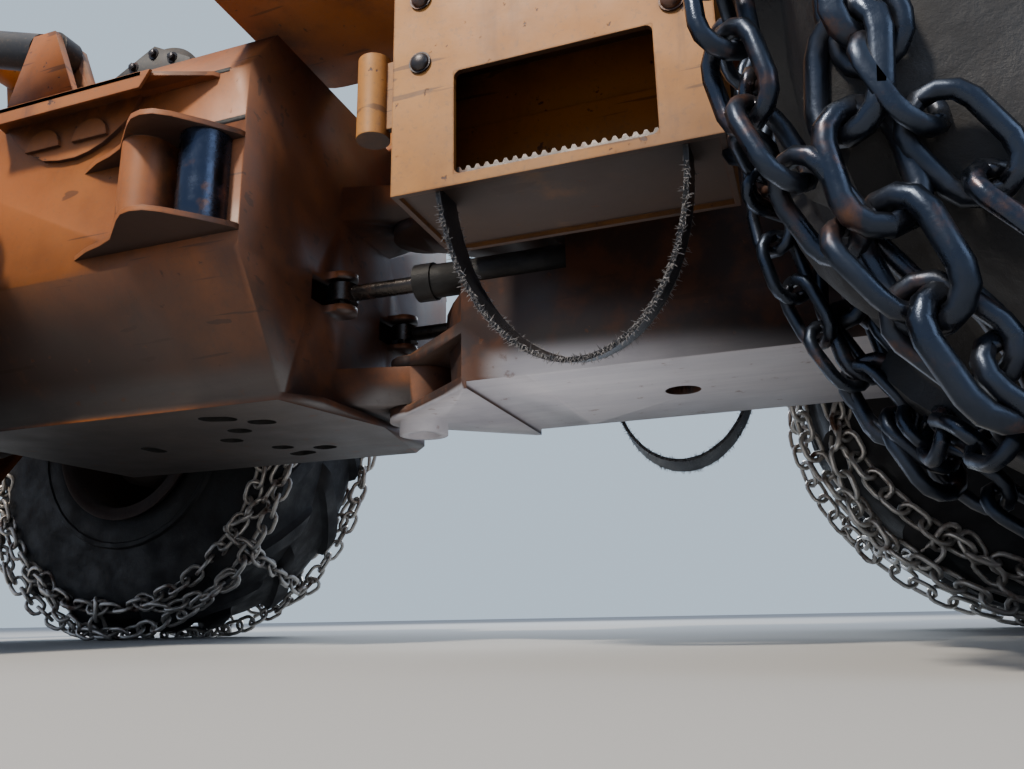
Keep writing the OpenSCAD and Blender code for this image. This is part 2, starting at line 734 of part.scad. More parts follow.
module rear_frame() color(yellow) from_pivot() {
  outer = rear_half(0);
  inner = rear_half(rear_t);
  len = rear_back_x - rear_front_x;
  step_x = 1150;
  difference() {
    union() {
      difference() {
        long_section(concat(outer, mirrored(outer)), -rear_back_x, len);
        long_section(concat(inner, mirrored(inner)), -rear_back_x + rear_t, len - 2 * rear_t);
        box([-rear_back_x - 1, -big, rear_deck_z], [-step_x, big, big]);
      }
      box([-rear_back_x, -rear_half_w, rear_deck_z - rear_t],
        [-step_x, rear_half_w, rear_deck_z]);
      box([-step_x - rear_t, -rear_half_w + 1, 700], [-step_x, rear_half_w - 1, rear_bevel_z]);
      box([-step_x - rear_t, -rear_half_w + 100, 700], [-step_x, rear_half_w - 100,
        rear_top_z - 1]);
    }
    box([-rear_axle_x - 330, -big, 0], [-rear_axle_x + 330, big, wheel_r + 130]);
    both_sides() box([-rear_front_x - rear_t - 1, 95, steer_z - 37],
      [-rear_front_x + 1, 285, steer_z + 37]);
  }
  difference() {
    for (z = [low_eye_z, high_eye_z]) translate([0, 0, z - eye_t / 2]) linear_extrude(eye_t) {
      circle(eye_r);
      polygon([[0, eye_r], [-rear_front_x - 1, 150], [-rear_front_x - 1, -150], [0, -eye_r]]);
    }
    translate([0, 0, belly_z - 100]) cylinder(r = pin_r + fit, h = 1000);
  }
  both_sides() box([-rear_axle_x - 200, 280, wheel_r + 130],
    [-rear_axle_x + 200, rear_half_w - 1, wheel_r + 170]);
  both_sides() steer_lugs();
  both_sides() arch_mount();
  both_sides() side_bracket();
  rear_belly();
  translate([-rear_back_x, 0, hitch_z - hitch_t / 2]) difference() {
    linear_extrude(hitch_t) {
      translate([-hitch_reach, 0]) circle(75);
      polygon([[1, -150], [-hitch_reach, -75], [-hitch_reach, 75], [1, 150]]);
    }
    translate([-hitch_reach, 0, -1]) cylinder(r = hitch_r, h = hitch_t + 2);
  }
}

module rear_belly() {
  translate([0, 0, belly_z - 20]) linear_extrude(20) polygon([
    [-rear_axle_x + 340, -rear_belly_half_w], [-213, -rear_belly_half_w], [-140, -300],
    [-124, 0], [-140, 300], [-213, rear_belly_half_w], [-rear_axle_x + 340, rear_belly_half_w]]);
}

module steer_lugs() {
  off = steer_cyl[4] / 2 + 8 + gap;
  for (z = [steer_z - off - 20, steer_z + off])
    translate([0, 0, z]) linear_extrude(20) {
      translate([steer_rear[0], steer_rear[1]]) circle(40);
      translate([-rear_front_x - 1, steer_rear[1] - 40]) square([rear_front_x + 1 + steer_rear[0], 80]);
    }
}

module arch_mount() {
  for (y = [leg_y - leg_t / 2 - gap - 30, leg_y + leg_t / 2 + gap])
    side_plate([[-arch_pin_x - 130, rear_deck_z - 1], [-arch_pin_x + 130, rear_deck_z - 1],
      [-arch_pin_x + 60, arch_pin_z + 60], [-arch_pin_x - 60, arch_pin_z + 60]], y, 30);
  cross_pin([-arch_pin_x, arch_pin_z], boom_pin_r, leg_y - leg_t / 2 - gap - 30,
    leg_t + 2 * gap + 60);
  for (y = [arch_cyl_y - 30 - gap - 25, arch_cyl_y + 30 + gap])
    side_plate([[arch_base[0] - 110, rear_top_z - 1], [arch_base[0] + 140, rear_top_z - 1],
      [arch_base[0] + 42, arch_base[1] + 34], [arch_base[0] - 42, arch_base[1] + 34]], y, 25);
  cross_pin(arch_base, arch_cyl[5], arch_cyl_y - 60, 120);
}

module side_bracket() {
  for (z = [960, 1250])
    translate([0, rear_half_w - 1, z]) linear_extrude(14)
      polygon([[-560, 0], [-500, bracket_reach], [-215, bracket_reach], [-205, 0]]);
  translate([0, rear_half_w - 1, rear_bevel_z - 4]) linear_extrude(12)
    polygon([[-990, 0], [-960, bracket_reach], [-420, bracket_reach], [-260, 0]]);
}

module side_rollers() color(steel) from_pivot() both_sides()
  translate([-300, rear_half_w + 2, 974 + fit]) difference() {
    cylinder(r = roller_r, h = 276 - 2 * fit);
    box([-100, -100, -1], [100, 0, 400]);
  }

module winch() color(black) from_pivot() {
  mid = [-870, 1745];
  for (y = [-240, 200]) side_plate([[mid[0] - 170, rear_top_z], [mid[0] + 170, rear_top_z],
    [mid[0] + 150, mid[1] + 60], [mid[0], mid[1] + 140], [mid[0] - 150, mid[1] + 60]], y, 40);
  cross_pin(mid, 90, -200, 400);
  for (y = [-196, 182]) cross_pin(mid, 160, y, 14);
}

module arch() color(yellow) from_pivot() {
  both_sides() difference() {
    union() {
      side_plate([[-arch_pin_x - 80, arch_pin_z], [-arch_pin_x + 80, arch_pin_z],
        [-arch_pin_x + 70, 2100], [-boom_pin_x + 90, boom_pin_z],
        [-boom_pin_x - 90, boom_pin_z]], leg_y - leg_t / 2, leg_t);
      cross_pin([-arch_pin_x, arch_pin_z], 80, leg_y - leg_t / 2, leg_t);
      cross_pin([-boom_pin_x, boom_pin_z], 90, leg_y - leg_t / 2, leg_t);
      cross_pin(arch_top, 60, leg_y, leg_t / 2 + arch_cyl_y - 30 - leg_y - leg_t / 2 - gap - 8);
    }
    cross_pin([-arch_pin_x, arch_pin_z], boom_pin_r + fit, 0, 1000);
  }
  cross_pin([-boom_pin_x, boom_pin_z], boom_pin_r, -leg_y, 2 * leg_y);
  cross_pin(boom_base - [0, 140], 70, -leg_y, 2 * leg_y);
  for (y = [-30 - 4 - 20, 34]) side_plate([boom_base + [-60, -130], boom_base + [60, -130],
    boom_base + [45, 30], boom_base + [-45, 30]], y, 20);
  cross_pin(boom_base, boom_cyl[5], -54, 108);
}

module arch_barrels() color(black) from_pivot() both_sides()
  aim(arch_base, arch_top, arch_cyl_y) barrel(arch_cyl, arch_closed - 75);

module arch_rods() color(steel) from_pivot() both_sides()
  aim(arch_base, arch_top, arch_cyl_y) rod(arch_cyl, arch_closed, span(arch_base, arch_top));

module boom() color(yellow) from_pivot() difference() {
  union() {
    side_plate([[-boom_pin_x + 90, boom_pin_z + 20], [-boom_pin_x, boom_pin_z - 80],
      [-2400, 2440], [-2900, 2370], [-tip_x + 60, tip_z - 70], [-tip_x - 50, tip_z - 50],
      [-tip_x - 60, tip_z + 50], [-2900, 2550], [-2400, 2650], [-boom_pin_x, boom_pin_z + 130]],
      -boom_half_w, 2 * boom_half_w);
    cross_pin([-boom_pin_x, boom_pin_z], 88, -leg_y + leg_t / 2 + gap,
      2 * (leg_y - leg_t / 2 - gap));
    for (y = [-30 - gap - 8 - 20, 43]) side_plate([[-2760, 2460], [boom_lug[0] - 40, boom_lug[1] - 40],
      [boom_lug[0] + 40, boom_lug[1] - 40], [-2520, 2460]], y, 20);
  }
  cross_pin([-boom_pin_x, boom_pin_z], boom_pin_r + fit, -big / 2, big);
  cross_pin([-tip_x, tip_z], 30 + fit, -big / 2, big);
  box([-tip_x - 100, -60 - gap, tip_z - 120], [-tip_x + 150, 60 + gap, tip_z + 120]);
}

module boom_barrel() color(black) from_pivot()
  aim(boom_base, boom_lug, 0) barrel(boom_cyl, boom_closed - 75);

module boom_rod() color(steel) from_pivot()
  aim(boom_base, boom_lug, 0) rod(boom_cyl, boom_closed, span(boom_base, boom_lug));

// The grapple hangs from a cross with one pin along Y and one along X
cross_drop = 110;

module grapple_cross() color(black) from_pivot() difference() {
  union() {
    cross_pin([-tip_x, tip_z], 60, -60, 120);
    cross_pin([-tip_x, tip_z], 30, -boom_half_w, 2 * boom_half_w);
    box([-tip_x - 40, -50, tip_z - cross_drop], [-tip_x + 40, 50, tip_z]);
    translate([-tip_x - 40, 0, tip_z - cross_drop]) rotate([0, 90, 0]) cylinder(r = 55, h = 80);
  }
  translate([-tip_x - 50, 0, tip_z - cross_drop]) rotate([0, 90, 0])
    cylinder(r = 30 + fit, h = 100);
}

module grapple_hanger() color(black) from_pivot() translate([-tip_x, 0, tip_z - cross_drop]) {
  for (x = [-40 - gap - 30, 40 + gap]) {
    translate([x, 0, 0]) rotate([0, 90, 0]) cylinder(r = 55, h = 30);
    box([x, -55, -150], [x + 30, 55, 0]);
  }
  translate([-60, 0, 0]) rotate([0, 90, 0]) cylinder(r = 30, h = 120);
  translate([0, 0, -250]) cylinder(r = 120, h = 130);
}

module grapple_head() color(yellow) from_pivot() translate([-tip_x, 0, 0]) {
  translate([0, 0, tip_z - cross_drop - 330]) cylinder(r = 90, h = 80 - fit);
  box([-head_half_x, -285, 1925], [head_half_x, 285, 1970]);
  for (x = [-head_half_x, head_half_x - 20])
    difference() {
      long_section([[-285, 1930], [-300, tong_z - 70], [300, tong_z - 70], [285, 1930]], x, 20);
      long_section([[-140, 1860], [-110, 1700], [110, 1700], [140, 1860]], x - 1, 22);
    }
  for (s = [-1, 1]) translate([-head_half_x, s * tong_y, tong_z]) rotate([0, 90, 0])
    cylinder(r = 30, h = 2 * head_half_x);
}

// A tong on the left side; off is the distance of its plates from the middle
module tong(off) {
  mid = [60, tong_z - 400];
  outline = concat(arc(mid, tong_r, 50, -96, 16), arc(mid, tong_r - 95, -96, 50, 16));
  difference() {
    union() {
      for (x = [-off - tong_t, off]) {
        long_section(outline, x, tong_t);
        translate([x, tong_y, tong_z]) rotate([0, 90, 0]) cylinder(r = 75, h = tong_t);
        long_section([[tong_y - 60, tong_z - 40], tong_pin - [50, 30], tong_pin + [40, -50],
          [tong_y + 200, tong_z - 40], [tong_y + 60, tong_z + 40]], x, tong_t);
      }
      translate([-off - tong_t, mid[0] + (tong_r - 48) * cos(-30), mid[1] + (tong_r - 48) * sin(-30)])
        rotate([0, 90, 0]) cylinder(r = 40, h = 2 * (off + tong_t));
    }
    translate([-big / 2, tong_y, tong_z]) rotate([0, 90, 0]) cylinder(r = 30 + fit, h = big);
  }
}

// Pins of the tongs' cylinder, as [y, z]
tong_pin = [tong_y + 80, tong_z - 220];

module tong_left() color(yellow) from_pivot() translate([-tip_x, 0, 0]) {
  tong(120);
  for (x = [-121, 38]) translate([x, tong_pin[0], tong_pin[1]]) rotate([0, 90, 0])
    cylinder(r = 40, h = 83);
}

module tong_right() color(yellow) from_pivot() translate([-tip_x, 0, 0]) mirror([0, 1, 0]) {
  tong(74);
  translate([-75, tong_pin[0], tong_pin[1]]) rotate([0, 90, 0]) cylinder(r = tong_cyl[5], h = 150);
}

module set_tong_cylinder() from_pivot() translate([-tip_x, -tong_pin[0], tong_pin[1]])
  rotate([0, 0, 90]) children();

module tong_barrel() color(black) set_tong_cylinder() barrel(tong_cyl, tong_closed - 60);
module tong_rod() color(steel) set_tong_cylinder() rod(tong_cyl, tong_closed, 2 * tong_pin[0]);

// A steering cylinder lies flat, its pins along Z; side is 1 on the left
module set_steer(side) from_pivot() {
  a = steer_front;
  b = steer_rear;
  mirror([0, side > 0 ? 0 : 1, 0]) translate([a[0], a[1], steer_z])
    rotate([0, 0, atan2(b[1] - a[1], b[0] - a[0])]) rotate([90, 0, 0]) children();
}

module steer_barrel_left() color(black) set_steer(1) barrel(steer_cyl, steer_closed - 60);
module steer_barrel_right() color(black) set_steer(-1) barrel(steer_cyl, steer_closed - 60);
module steer_rod_left() color(steel)
  set_steer(1) rod(steer_cyl, steer_closed, span(steer_front, steer_rear));
module steer_rod_right() color(steel)
  set_steer(-1) rod(steer_cyl, steer_closed, span(steer_front, steer_rear));

front_frame();
side_steps();
step_loops();
hood();
grille();
engine_block();
cab_body();
cab_roof();
cab_glass();
seat();
controls();
front_axle();
lamps();
stacks();
limb_risers();
tanks();
door_left();
door_right();
door_glass_left();
door_glass_right();
blade();
blade_barrels();
blade_rods();
tyre_front_left();
tyre_front_right();
tyre_rear_left();
tyre_rear_right();
wheel_front_left();
wheel_front_right();
wheel_rear_left();
wheel_rear_right();
rear_frame();
side_rollers();
winch();
rear_axle();
arch();
arch_barrels();
arch_rods();
boom();
boom_barrel();
boom_rod();
grapple_cross();
grapple_hanger();
grapple_head();
tong_left();
tong_right();
tong_barrel();
tong_rod();
steer_barrel_left();
steer_barrel_right();
steer_rod_left();
steer_rod_right();
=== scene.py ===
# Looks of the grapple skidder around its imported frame, in metres.
# +X is forward, +Y the machine's left side and +Z up, as in the frame.

import json
import math
import random

import bmesh
import bpy
from mathutils import Matrix, Vector


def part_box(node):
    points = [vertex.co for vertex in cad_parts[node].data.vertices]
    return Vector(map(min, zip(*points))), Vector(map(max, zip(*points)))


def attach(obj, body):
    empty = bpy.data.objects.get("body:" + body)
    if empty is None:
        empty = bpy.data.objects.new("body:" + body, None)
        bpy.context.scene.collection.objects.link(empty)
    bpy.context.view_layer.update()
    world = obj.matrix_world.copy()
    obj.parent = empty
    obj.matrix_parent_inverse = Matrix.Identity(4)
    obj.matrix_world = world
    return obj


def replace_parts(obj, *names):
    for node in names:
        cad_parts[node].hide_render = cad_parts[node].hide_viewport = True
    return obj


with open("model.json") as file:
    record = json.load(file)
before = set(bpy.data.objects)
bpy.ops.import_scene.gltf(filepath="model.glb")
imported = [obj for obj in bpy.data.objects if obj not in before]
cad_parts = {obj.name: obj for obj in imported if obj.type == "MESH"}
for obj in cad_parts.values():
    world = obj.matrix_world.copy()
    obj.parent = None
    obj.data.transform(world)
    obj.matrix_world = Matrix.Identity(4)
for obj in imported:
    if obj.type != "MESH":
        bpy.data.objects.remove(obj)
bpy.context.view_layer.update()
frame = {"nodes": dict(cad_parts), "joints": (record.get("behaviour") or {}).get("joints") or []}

JOINTS = {joint["name"]: joint for joint in frame["joints"]}
NODES = frame["nodes"]
PIVOT = Vector(JOINTS["steer"]["pos_m"])
WHEELS = {
    "front_left": "front_wheel_left",
    "front_right": "front_wheel_right",
    "rear_left": "rear_wheel_left",
    "rear_right": "rear_wheel_right",
}


def wheel_centre(place):
    """The middle of a tyre."""
    low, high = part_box(f"tyre_{place}")
    return (low + high) / 2


def at(x, y, z):
    """A place measured from the steering pivot along X."""
    return Vector((PIVOT.x + x, y, z))


# The camera stands on the ground beside the right front step.

PHOTO_SIZE = (1024, 769)
CAMERA_PLACE = Vector((1.142, -2.138, 0.06))
CAMERA_YAW = 19.41
CAMERA_PITCH = 15.2
CAMERA_ROLL = -1.04
FOCAL_PIXELS = 859.2
SENSOR = 36.0


def make_camera():
    yaw, pitch, roll = (math.radians(a) for a in (CAMERA_YAW, CAMERA_PITCH, CAMERA_ROLL))
    ahead = Vector((-math.sin(yaw) * math.cos(pitch), math.cos(yaw) * math.cos(pitch),
                    math.sin(pitch)))
    level = Vector((math.cos(yaw), math.sin(yaw), 0))
    upward = level.cross(ahead)
    right = level * math.cos(roll) + upward * math.sin(roll)
    top = upward * math.cos(roll) - level * math.sin(roll)
    data = bpy.data.cameras.new("camera")
    data.sensor_width = SENSOR
    data.lens = SENSOR * FOCAL_PIXELS / PHOTO_SIZE[0]
    data.clip_start = 0.02
    camera = new_object("camera", data)
    turned = Matrix((right, top, -ahead)).transposed().to_4x4()
    camera.matrix_world = Matrix.Translation(CAMERA_PLACE) @ turned
    bpy.context.scene.camera = camera


# Node boards

class Board:
    """Places and joins the nodes of one node tree."""

    def __init__(self, tree):
        self.tree = tree

    def add(self, kind, inputs=None, **settings):
        node = self.tree.nodes.new(kind)
        for name, value in settings.items():
            setattr(node, name, value)
        for key, value in (inputs or {}).items():
            self.feed(node.inputs[key], value)
        return node

    def feed(self, socket, value):
        if isinstance(value, bpy.types.NodeSocket):
            self.tree.links.new(value, socket)
        else:
            socket.default_value = value

    def math(self, operation, first, second=0.0):
        node = self.add("ShaderNodeMath", {0: first, 1: second}, operation=operation)
        node.use_clamp = operation == "ADD"
        return node.outputs[0]

    def times(self, first, second):
        return self.math("MULTIPLY", first, second)

    def ramp(self, value, low, high, to_low=0.0, to_high=1.0):
        """A smooth step from low to high."""
        node = self.add("ShaderNodeMapRange", {
            "Value": value, "From Min": low, "From Max": high,
            "To Min": to_low, "To Max": to_high}, interpolation_type="SMOOTHSTEP")
        return node.outputs["Result"]

    def blend(self, share, first, second):
        """A colour between two colours."""
        node = self.add("ShaderNodeMix", {0: share, 6: first, 7: second}, data_type="RGBA")
        return node.outputs[2]

    def noise(self, scale, detail=4.0, rough=0.55, vector=None, stretch=None):
        """Noise over the object's own coordinates."""
        if vector is None:
            vector = self.add("ShaderNodeTexCoord").outputs["Object"]
        if stretch:
            vector = self.add("ShaderNodeMapping", {"Vector": vector, "Scale": stretch})
            vector = vector.outputs[0]
        node = self.add("ShaderNodeTexNoise", {
            "Vector": vector, "Scale": scale, "Detail": detail, "Roughness": rough})
        return node.outputs["Fac"]

    def group(self, tree, inputs=None):
        return self.add("ShaderNodeGroup", inputs, node_tree=tree)


def new_group(name, inputs, outputs):
    """A shader node group with named float inputs and outputs."""
    tree = bpy.data.node_groups.new(name, "ShaderNodeTree")
    for socket, value in inputs.items():
        made = tree.interface.new_socket(name=socket, in_out="INPUT",
                                         socket_type="NodeSocketFloat")
        made.default_value = value
    for socket in outputs:
        tree.interface.new_socket(name=socket, in_out="OUTPUT", socket_type="NodeSocketFloat")
    board = Board(tree)
    return board, board.add("NodeGroupInput").outputs, board.add("NodeGroupOutput").inputs


def edge_wear_group():
    """Where paint is rubbed off along edges."""
    board, given, out = new_group("edge_wear", {"Radius": 0.008, "Wander": 9.0, "Reach": 0.5},
                                  ["Mask"])
    rounded = board.add("ShaderNodeBevel", {"Radius": given["Radius"]}, samples=2)
    normal = board.add("ShaderNodeNewGeometry").outputs["Normal"]
    dot = board.add("ShaderNodeVectorMath", {0: rounded.outputs[0], 1: normal},
                    operation="DOT_PRODUCT").outputs["Value"]
    bent = board.ramp(dot, 0.996, 0.92)
    ragged = board.noise(given["Wander"], 7.0, 0.75)
    share = board.times(bent, board.ramp(ragged, 0.40, 0.56))
    board.feed(out["Mask"], board.times(share, given["Reach"]))
    return board.tree


def blotch_group():
    """Patches with soft or hard rims: stains, rust, dust."""
    board, given, out = new_group(
        "blotches", {"Scale": 3.0, "Low": 0.5, "High": 0.6, "Amount": 1.0}, ["Mask"])
    coarse = board.noise(given["Scale"], 8.0, 0.62)
    spread = board.ramp(coarse, given["Low"], given["High"])
    board.feed(out["Mask"], board.times(spread, given["Amount"]))
    return board.tree


def streak_group():
    """Runs of oil and rain down the upright faces."""
    board, given, out = new_group("streaks", {"Scale": 11.0, "Amount": 0.6}, ["Mask"])
    runs = board.noise(given["Scale"], 6.0, 0.6, stretch=(1.0, 1.0, 0.10))
    patch = board.noise(1.9, 3.0, 0.5)
    share = board.times(board.ramp(runs, 0.50, 0.72), board.ramp(patch, 0.44, 0.62))
    board.feed(out["Mask"], board.times(share, given["Amount"]))
    return board.tree


def scratch_group():
    """Long thin scratches, mostly along the machine."""
    board, given, out = new_group("scratches", {"Scale": 15.0, "Amount": 0.6}, ["Mask"])
    along = board.noise(given["Scale"], 3.0, 0.5, stretch=(0.10, 1.0, 2.2))
    slant = board.noise(given["Scale"], 3.0, 0.5, stretch=(0.35, 1.4, 1.1))
    lines = board.math("MAXIMUM", board.ramp(along, 0.650, 0.672), board.ramp(slant, 0.680, 0.700))
    board.feed(out["Mask"], board.times(lines, given["Amount"]))
    return board.tree


def facing_group():
    """How far a face looks up, and how far it looks down."""
    board, _, out = new_group("facing", {}, ["Up", "Down"])
    normal = board.add("ShaderNodeNewGeometry").outputs["Normal"]
    height = board.add("ShaderNodeSeparateXYZ", {0: normal}).outputs["Z"]
    board.feed(out["Up"], board.ramp(height, 0.35, 0.9))
    board.feed(out["Down"], board.ramp(height, -0.15, -0.60))
    return board.tree


def low_down_group():
    """Grows from a height down to the ground."""
    board, given, out = new_group("low_down", {"Top": 1.4, "Bottom": 0.5}, ["Mask"])
    place = board.add("ShaderNodeTexCoord").outputs["Object"]
    height = board.add("ShaderNodeSeparateXYZ", {0: place}).outputs["Z"]
    board.feed(out["Mask"], board.ramp(height, given["Top"], given["Bottom"]))
    return board.tree


def corner_group():
    """Corners and recesses, darkened by grease and dirt and by painted shade."""
    board, given, out = new_group("corners", {"Reach": 0.10, "Amount": 0.8}, ["Mask"])
    open_air = board.add("ShaderNodeAmbientOcclusion", {"Distance": given["Reach"]}, samples=3)
    hidden = board.ramp(open_air.outputs["AO"], 0.92, 0.35)
    ragged = board.ramp(board.noise(14.0, 5.0, 0.6), 0.25, 0.60, 0.35, 1.0)
    share = board.times(hidden, ragged)
    board.feed(out["Mask"], board.times(share, given["Amount"]))
    return board.tree


GROUPS = {}


def build_groups():
    GROUPS["wear"] = edge_wear_group()
    GROUPS["blotch"] = blotch_group()
    GROUPS["streak"] = streak_group()
    GROUPS["scratch"] = scratch_group()
    GROUPS["facing"] = facing_group()
    GROUPS["low"] = low_down_group()
    GROUPS["corner"] = corner_group()
    GROUPS["pivot"] = toward_pivot_group()


MATERIALS = {}
RUST = (0.170, 0.060, 0.022, 1)
OLD_RUST = (0.045, 0.022, 0.014, 1)
EARTH = (0.150, 0.100, 0.058, 1)
# The two darkest colours stand for soil and grease, and also serve as painted shade low down, under
# things and in corners.
SOIL_AND_SHADE = (0.046, 0.031, 0.026, 1)
OIL_AND_SHADE = (0.020, 0.017, 0.019, 1)


def new_material(name):
    material = bpy.data.materials.new(name)
    material.use_nodes = True
    board = Board(material.node_tree)
    shader = material.node_tree.nodes["Principled BSDF"]
    MATERIALS[name] = material
    return board, shader


def blotches(board, scale, low, high, amount=1.0):
    return board.group(GROUPS["blotch"], {
        "Scale": scale, "Low": low, "High": high, "Amount": amount}).outputs["Mask"]


def roughen(board, shader, height, strength, distance=0.004, rounding=0.0):
    bump = board.add("ShaderNodeBump", {
        "Height": height, "Strength": strength, "Distance": distance})
    if rounding:
        soft = board.add("ShaderNodeBevel", {"Radius": rounding}, samples=2)
        board.feed(bump.inputs["Normal"], soft.outputs[0])
    board.feed(shader.inputs["Normal"], bump.outputs["Normal"])


def toward_pivot_group():
    """Faces that look at the steering joint, and walls between the wheels, black with grease and
    painted shade.
    """
    board, given, out = new_group("toward_pivot", {"Forward": 1.0, "Inside": 0.0}, ["Mask"])
    normal = board.add("ShaderNodeSeparateXYZ", {
        0: board.add("ShaderNodeNewGeometry").outputs["Normal"]})
    ahead = board.times(board.ramp(normal.outputs["X"], 0.3, 0.8), given["Forward"])
    place = board.add("ShaderNodeSeparateXYZ", {
        0: board.add("ShaderNodeTexCoord").outputs["Object"]})
    near = board.ramp(place.outputs["X"], PIVOT.x - 0.32, PIVOT.x - 0.24)
    ahead = board.times(ahead, near)
    side = board.times(board.ramp(board.math("ABSOLUTE", place.outputs["Y"]), 0.47, 0.43),
                      given["Inside"])
    upright = board.ramp(board.math("ABSOLUTE", normal.outputs["Z"]), 0.8, 0.6)
    side = board.times(side, board.times(upright, board.ramp(
        place.outputs["Z"], 1.40, 1.25)))
    board.feed(out["Mask"], board.math("MAXIMUM", ahead, side))
    return board.tree


def worn_paint(name, fresh, faded, grime_and_shade, chips, smoothest, scraped=None, inside=0.0):
    """Machine paint: sun-faded, greasy and with painted shade in its corners, with soil and
    painted shade low down and underneath, dusty on top, chipped to rust.

    scraped holds two steel colours of a pan that drags on the ground, on a frame that is also
    greasy, with painted shade, towards the joint; inside is how much grease and painted shade
    its walls between the wheels take.
    """
    board, shader = new_material(name)
    facing = board.group(GROUPS["facing"])
    colour = board.blend(blotches(board, 1.2, 0.34, 0.70), fresh, faded)
    dull = [c * 0.66 for c in fresh[:3]] + [1]
    colour = board.blend(blotches(board, 7.0, 0.46, 0.74, 0.5), colour, dull)
    colour = board.blend(blotches(board, 95.0, 0.52, 0.70, 0.35), colour, EARTH)
    streaks = board.group(GROUPS["streak"], {"Amount": 0.85 * grime_and_shade}).outputs["Mask"]
    colour = board.blend(streaks, colour, SOIL_AND_SHADE)
    # Darker towards the bottom: soil and painted shade.
    low = board.group(GROUPS["low"], {"Top": 1.25, "Bottom": 0.58}).outputs["Mask"]
    shade = board.times(low, blotches(board, 3.2, 0.30, 0.66, 0.9 * grime_and_shade))
    colour = board.blend(shade, colour, SOIL_AND_SHADE)
    place = board.add("ShaderNodeTexCoord").outputs["Object"]
    height = board.add("ShaderNodeSeparateXYZ", {0: place}).outputs["Z"]
    # Faces that look down, below the deck: soil and painted shade.
    under = board.times(facing.outputs["Down"], board.ramp(height, 1.45, 1.25))
    under = board.times(under, blotches(board, 4.0, 0.08, 0.42, 0.95))
    colour = board.blend(under, colour, SOIL_AND_SHADE)
    dust = board.times(facing.outputs["Up"], blotches(board, 6.0, 0.35, 0.60, 0.7))
    colour = board.blend(dust, colour, EARTH)
    # Corners and recesses: grease and painted shade.
    corners = board.group(GROUPS["corner"], {"Amount": 0.9 * grime_and_shade}).outputs["Mask"]
    colour = board.blend(corners, colour, OIL_AND_SHADE)
    if scraped:
        # Towards the joint and on the walls between the wheels: black grease and painted shade.
        grease_and_shade = board.group(GROUPS["pivot"], {"Forward": 0.75, "Inside": inside})
        grease_and_shade = board.times(grease_and_shade.outputs["Mask"], blotches(board, 4.5, 0.10, 0.40, 0.95))
        grease_and_shade_colour = board.blend(blotches(board, 9.0, 0.42, 0.64), OIL_AND_SHADE, (0.075, 0.030, 0.017, 1))
        colour = board.blend(grease_and_shade, colour, grease_and_shade_colour)
    edges = board.group(GROUPS["wear"], {"Reach": chips}).outputs["Mask"]
    spots = blotches(board, 30.0, 0.655, 0.675, chips)
    bare = board.math("MAXIMUM", edges, spots)
    lines = board.group(GROUPS["scratch"], {"Amount": 0.60 * chips}).outputs["Mask"]
    colour = board.blend(lines, colour, OLD_RUST)
    colour = board.blend(bare, colour, board.blend(board.noise(60.0), RUST, OLD_RUST))
    rough = board.math("ADD", smoothest, board.times(board.noise(9.0), 0.3))
    if scraped:
        pan = board.times(board.ramp(height, 0.70, 0.64), facing.outputs["Down"])
        steel = board.blend(board.noise(9.0, 7.0, 0.75, stretch=(0.12, 1.0, 1.0)),
                            scraped[0], scraped[1])
        steel = board.blend(blotches(board, 2.2, 0.44, 0.66, 0.5), steel, scraped[0])
        steel = board.blend(blotches(board, 18.0, 0.62, 0.69, 0.5), steel, RUST)
        colour = board.blend(pan, colour, steel)
    board.feed(shader.inputs["Base Color"], colour)
    board.feed(shader.inputs["Roughness"], rough)
    relief = board.math("SUBTRACT", board.times(board.noise(70.0, 6.0, 0.7), 0.3), bare)
    roughen(board, shader, relief, 0.4, 0.002, 0.004)


def rubber(name, dark, dusty, share, grain, rubbed, rough=(0.45, 0.85)):
    board, shader = new_material(name)
    colour = board.blend(blotches(board, 2.6, 0.38, 0.66, share), dark, dusty)
    colour = board.blend(blotches(board, 24.0, 0.52, 0.70, 0.6), colour, dusty)
    facing = board.group(GROUPS["facing"])
    dust = board.times(facing.outputs["Up"], 0.35)
    colour = board.blend(dust, colour, SOIL_AND_SHADE)
    edges = board.group(GROUPS["wear"], {"Reach": 0.45, "Radius": 0.006}).outputs["Mask"]
    colour = board.blend(edges, colour, rubbed)
    board.feed(shader.inputs["Base Color"], colour)
    board.feed(shader.inputs["Roughness"], board.ramp(board.noise(12.0), 0.2, 0.8, *rough))
    roughen(board, shader, board.noise(grain, 6.0, 0.75), 0.5, 0.004)


def steel(name, bright, dull, rust, low_rough, high_rough):
    """Bare metal with rust in patches, and grease and painted shade in its corners."""
    board, shader = new_material(name)
    colour = board.blend(board.noise(5.0, 6.0, 0.6), bright, dull)
    patches = blotches(board, 11.0, 0.62 - 0.3 * rust, 0.76 - 0.2 * rust)
    colour = board.blend(patches, colour, board.blend(board.noise(45.0), RUST, OLD_RUST))
    # Corners: grease and painted shade.
    corners = board.group(GROUPS["corner"], {"Reach": 0.03, "Amount": 0.7}).outputs["Mask"]
    colour = board.blend(corners, colour, OIL_AND_SHADE)
    hidden = board.math("MAXIMUM", patches, corners)
    board.feed(shader.inputs["Base Color"], colour)
    board.feed(shader.inputs["Metallic"], board.math("SUBTRACT", 0.95, board.times(hidden, 0.8)))
    board.feed(shader.inputs["Roughness"], board.ramp(
        board.noise(20.0, 5.0, 0.6), 0.3, 0.7, low_rough, high_rough))
    roughen(board, shader, board.noise(90.0, 5.0, 0.7), 0.3, 0.002)


def window_glass(name, tint):
    board, shader = new_material(name)
    shader.inputs["Base Color"].default_value = tint
    shader.inputs["Transmission Weight"].default_value = 1.0
    shader.inputs["IOR"].default_value = 1.2
    haze = board.ramp(blotches(board, 5.0, 0.45, 0.75), 0.0, 1.0, 0.02, 0.16)
    board.feed(shader.inputs["Roughness"], haze)


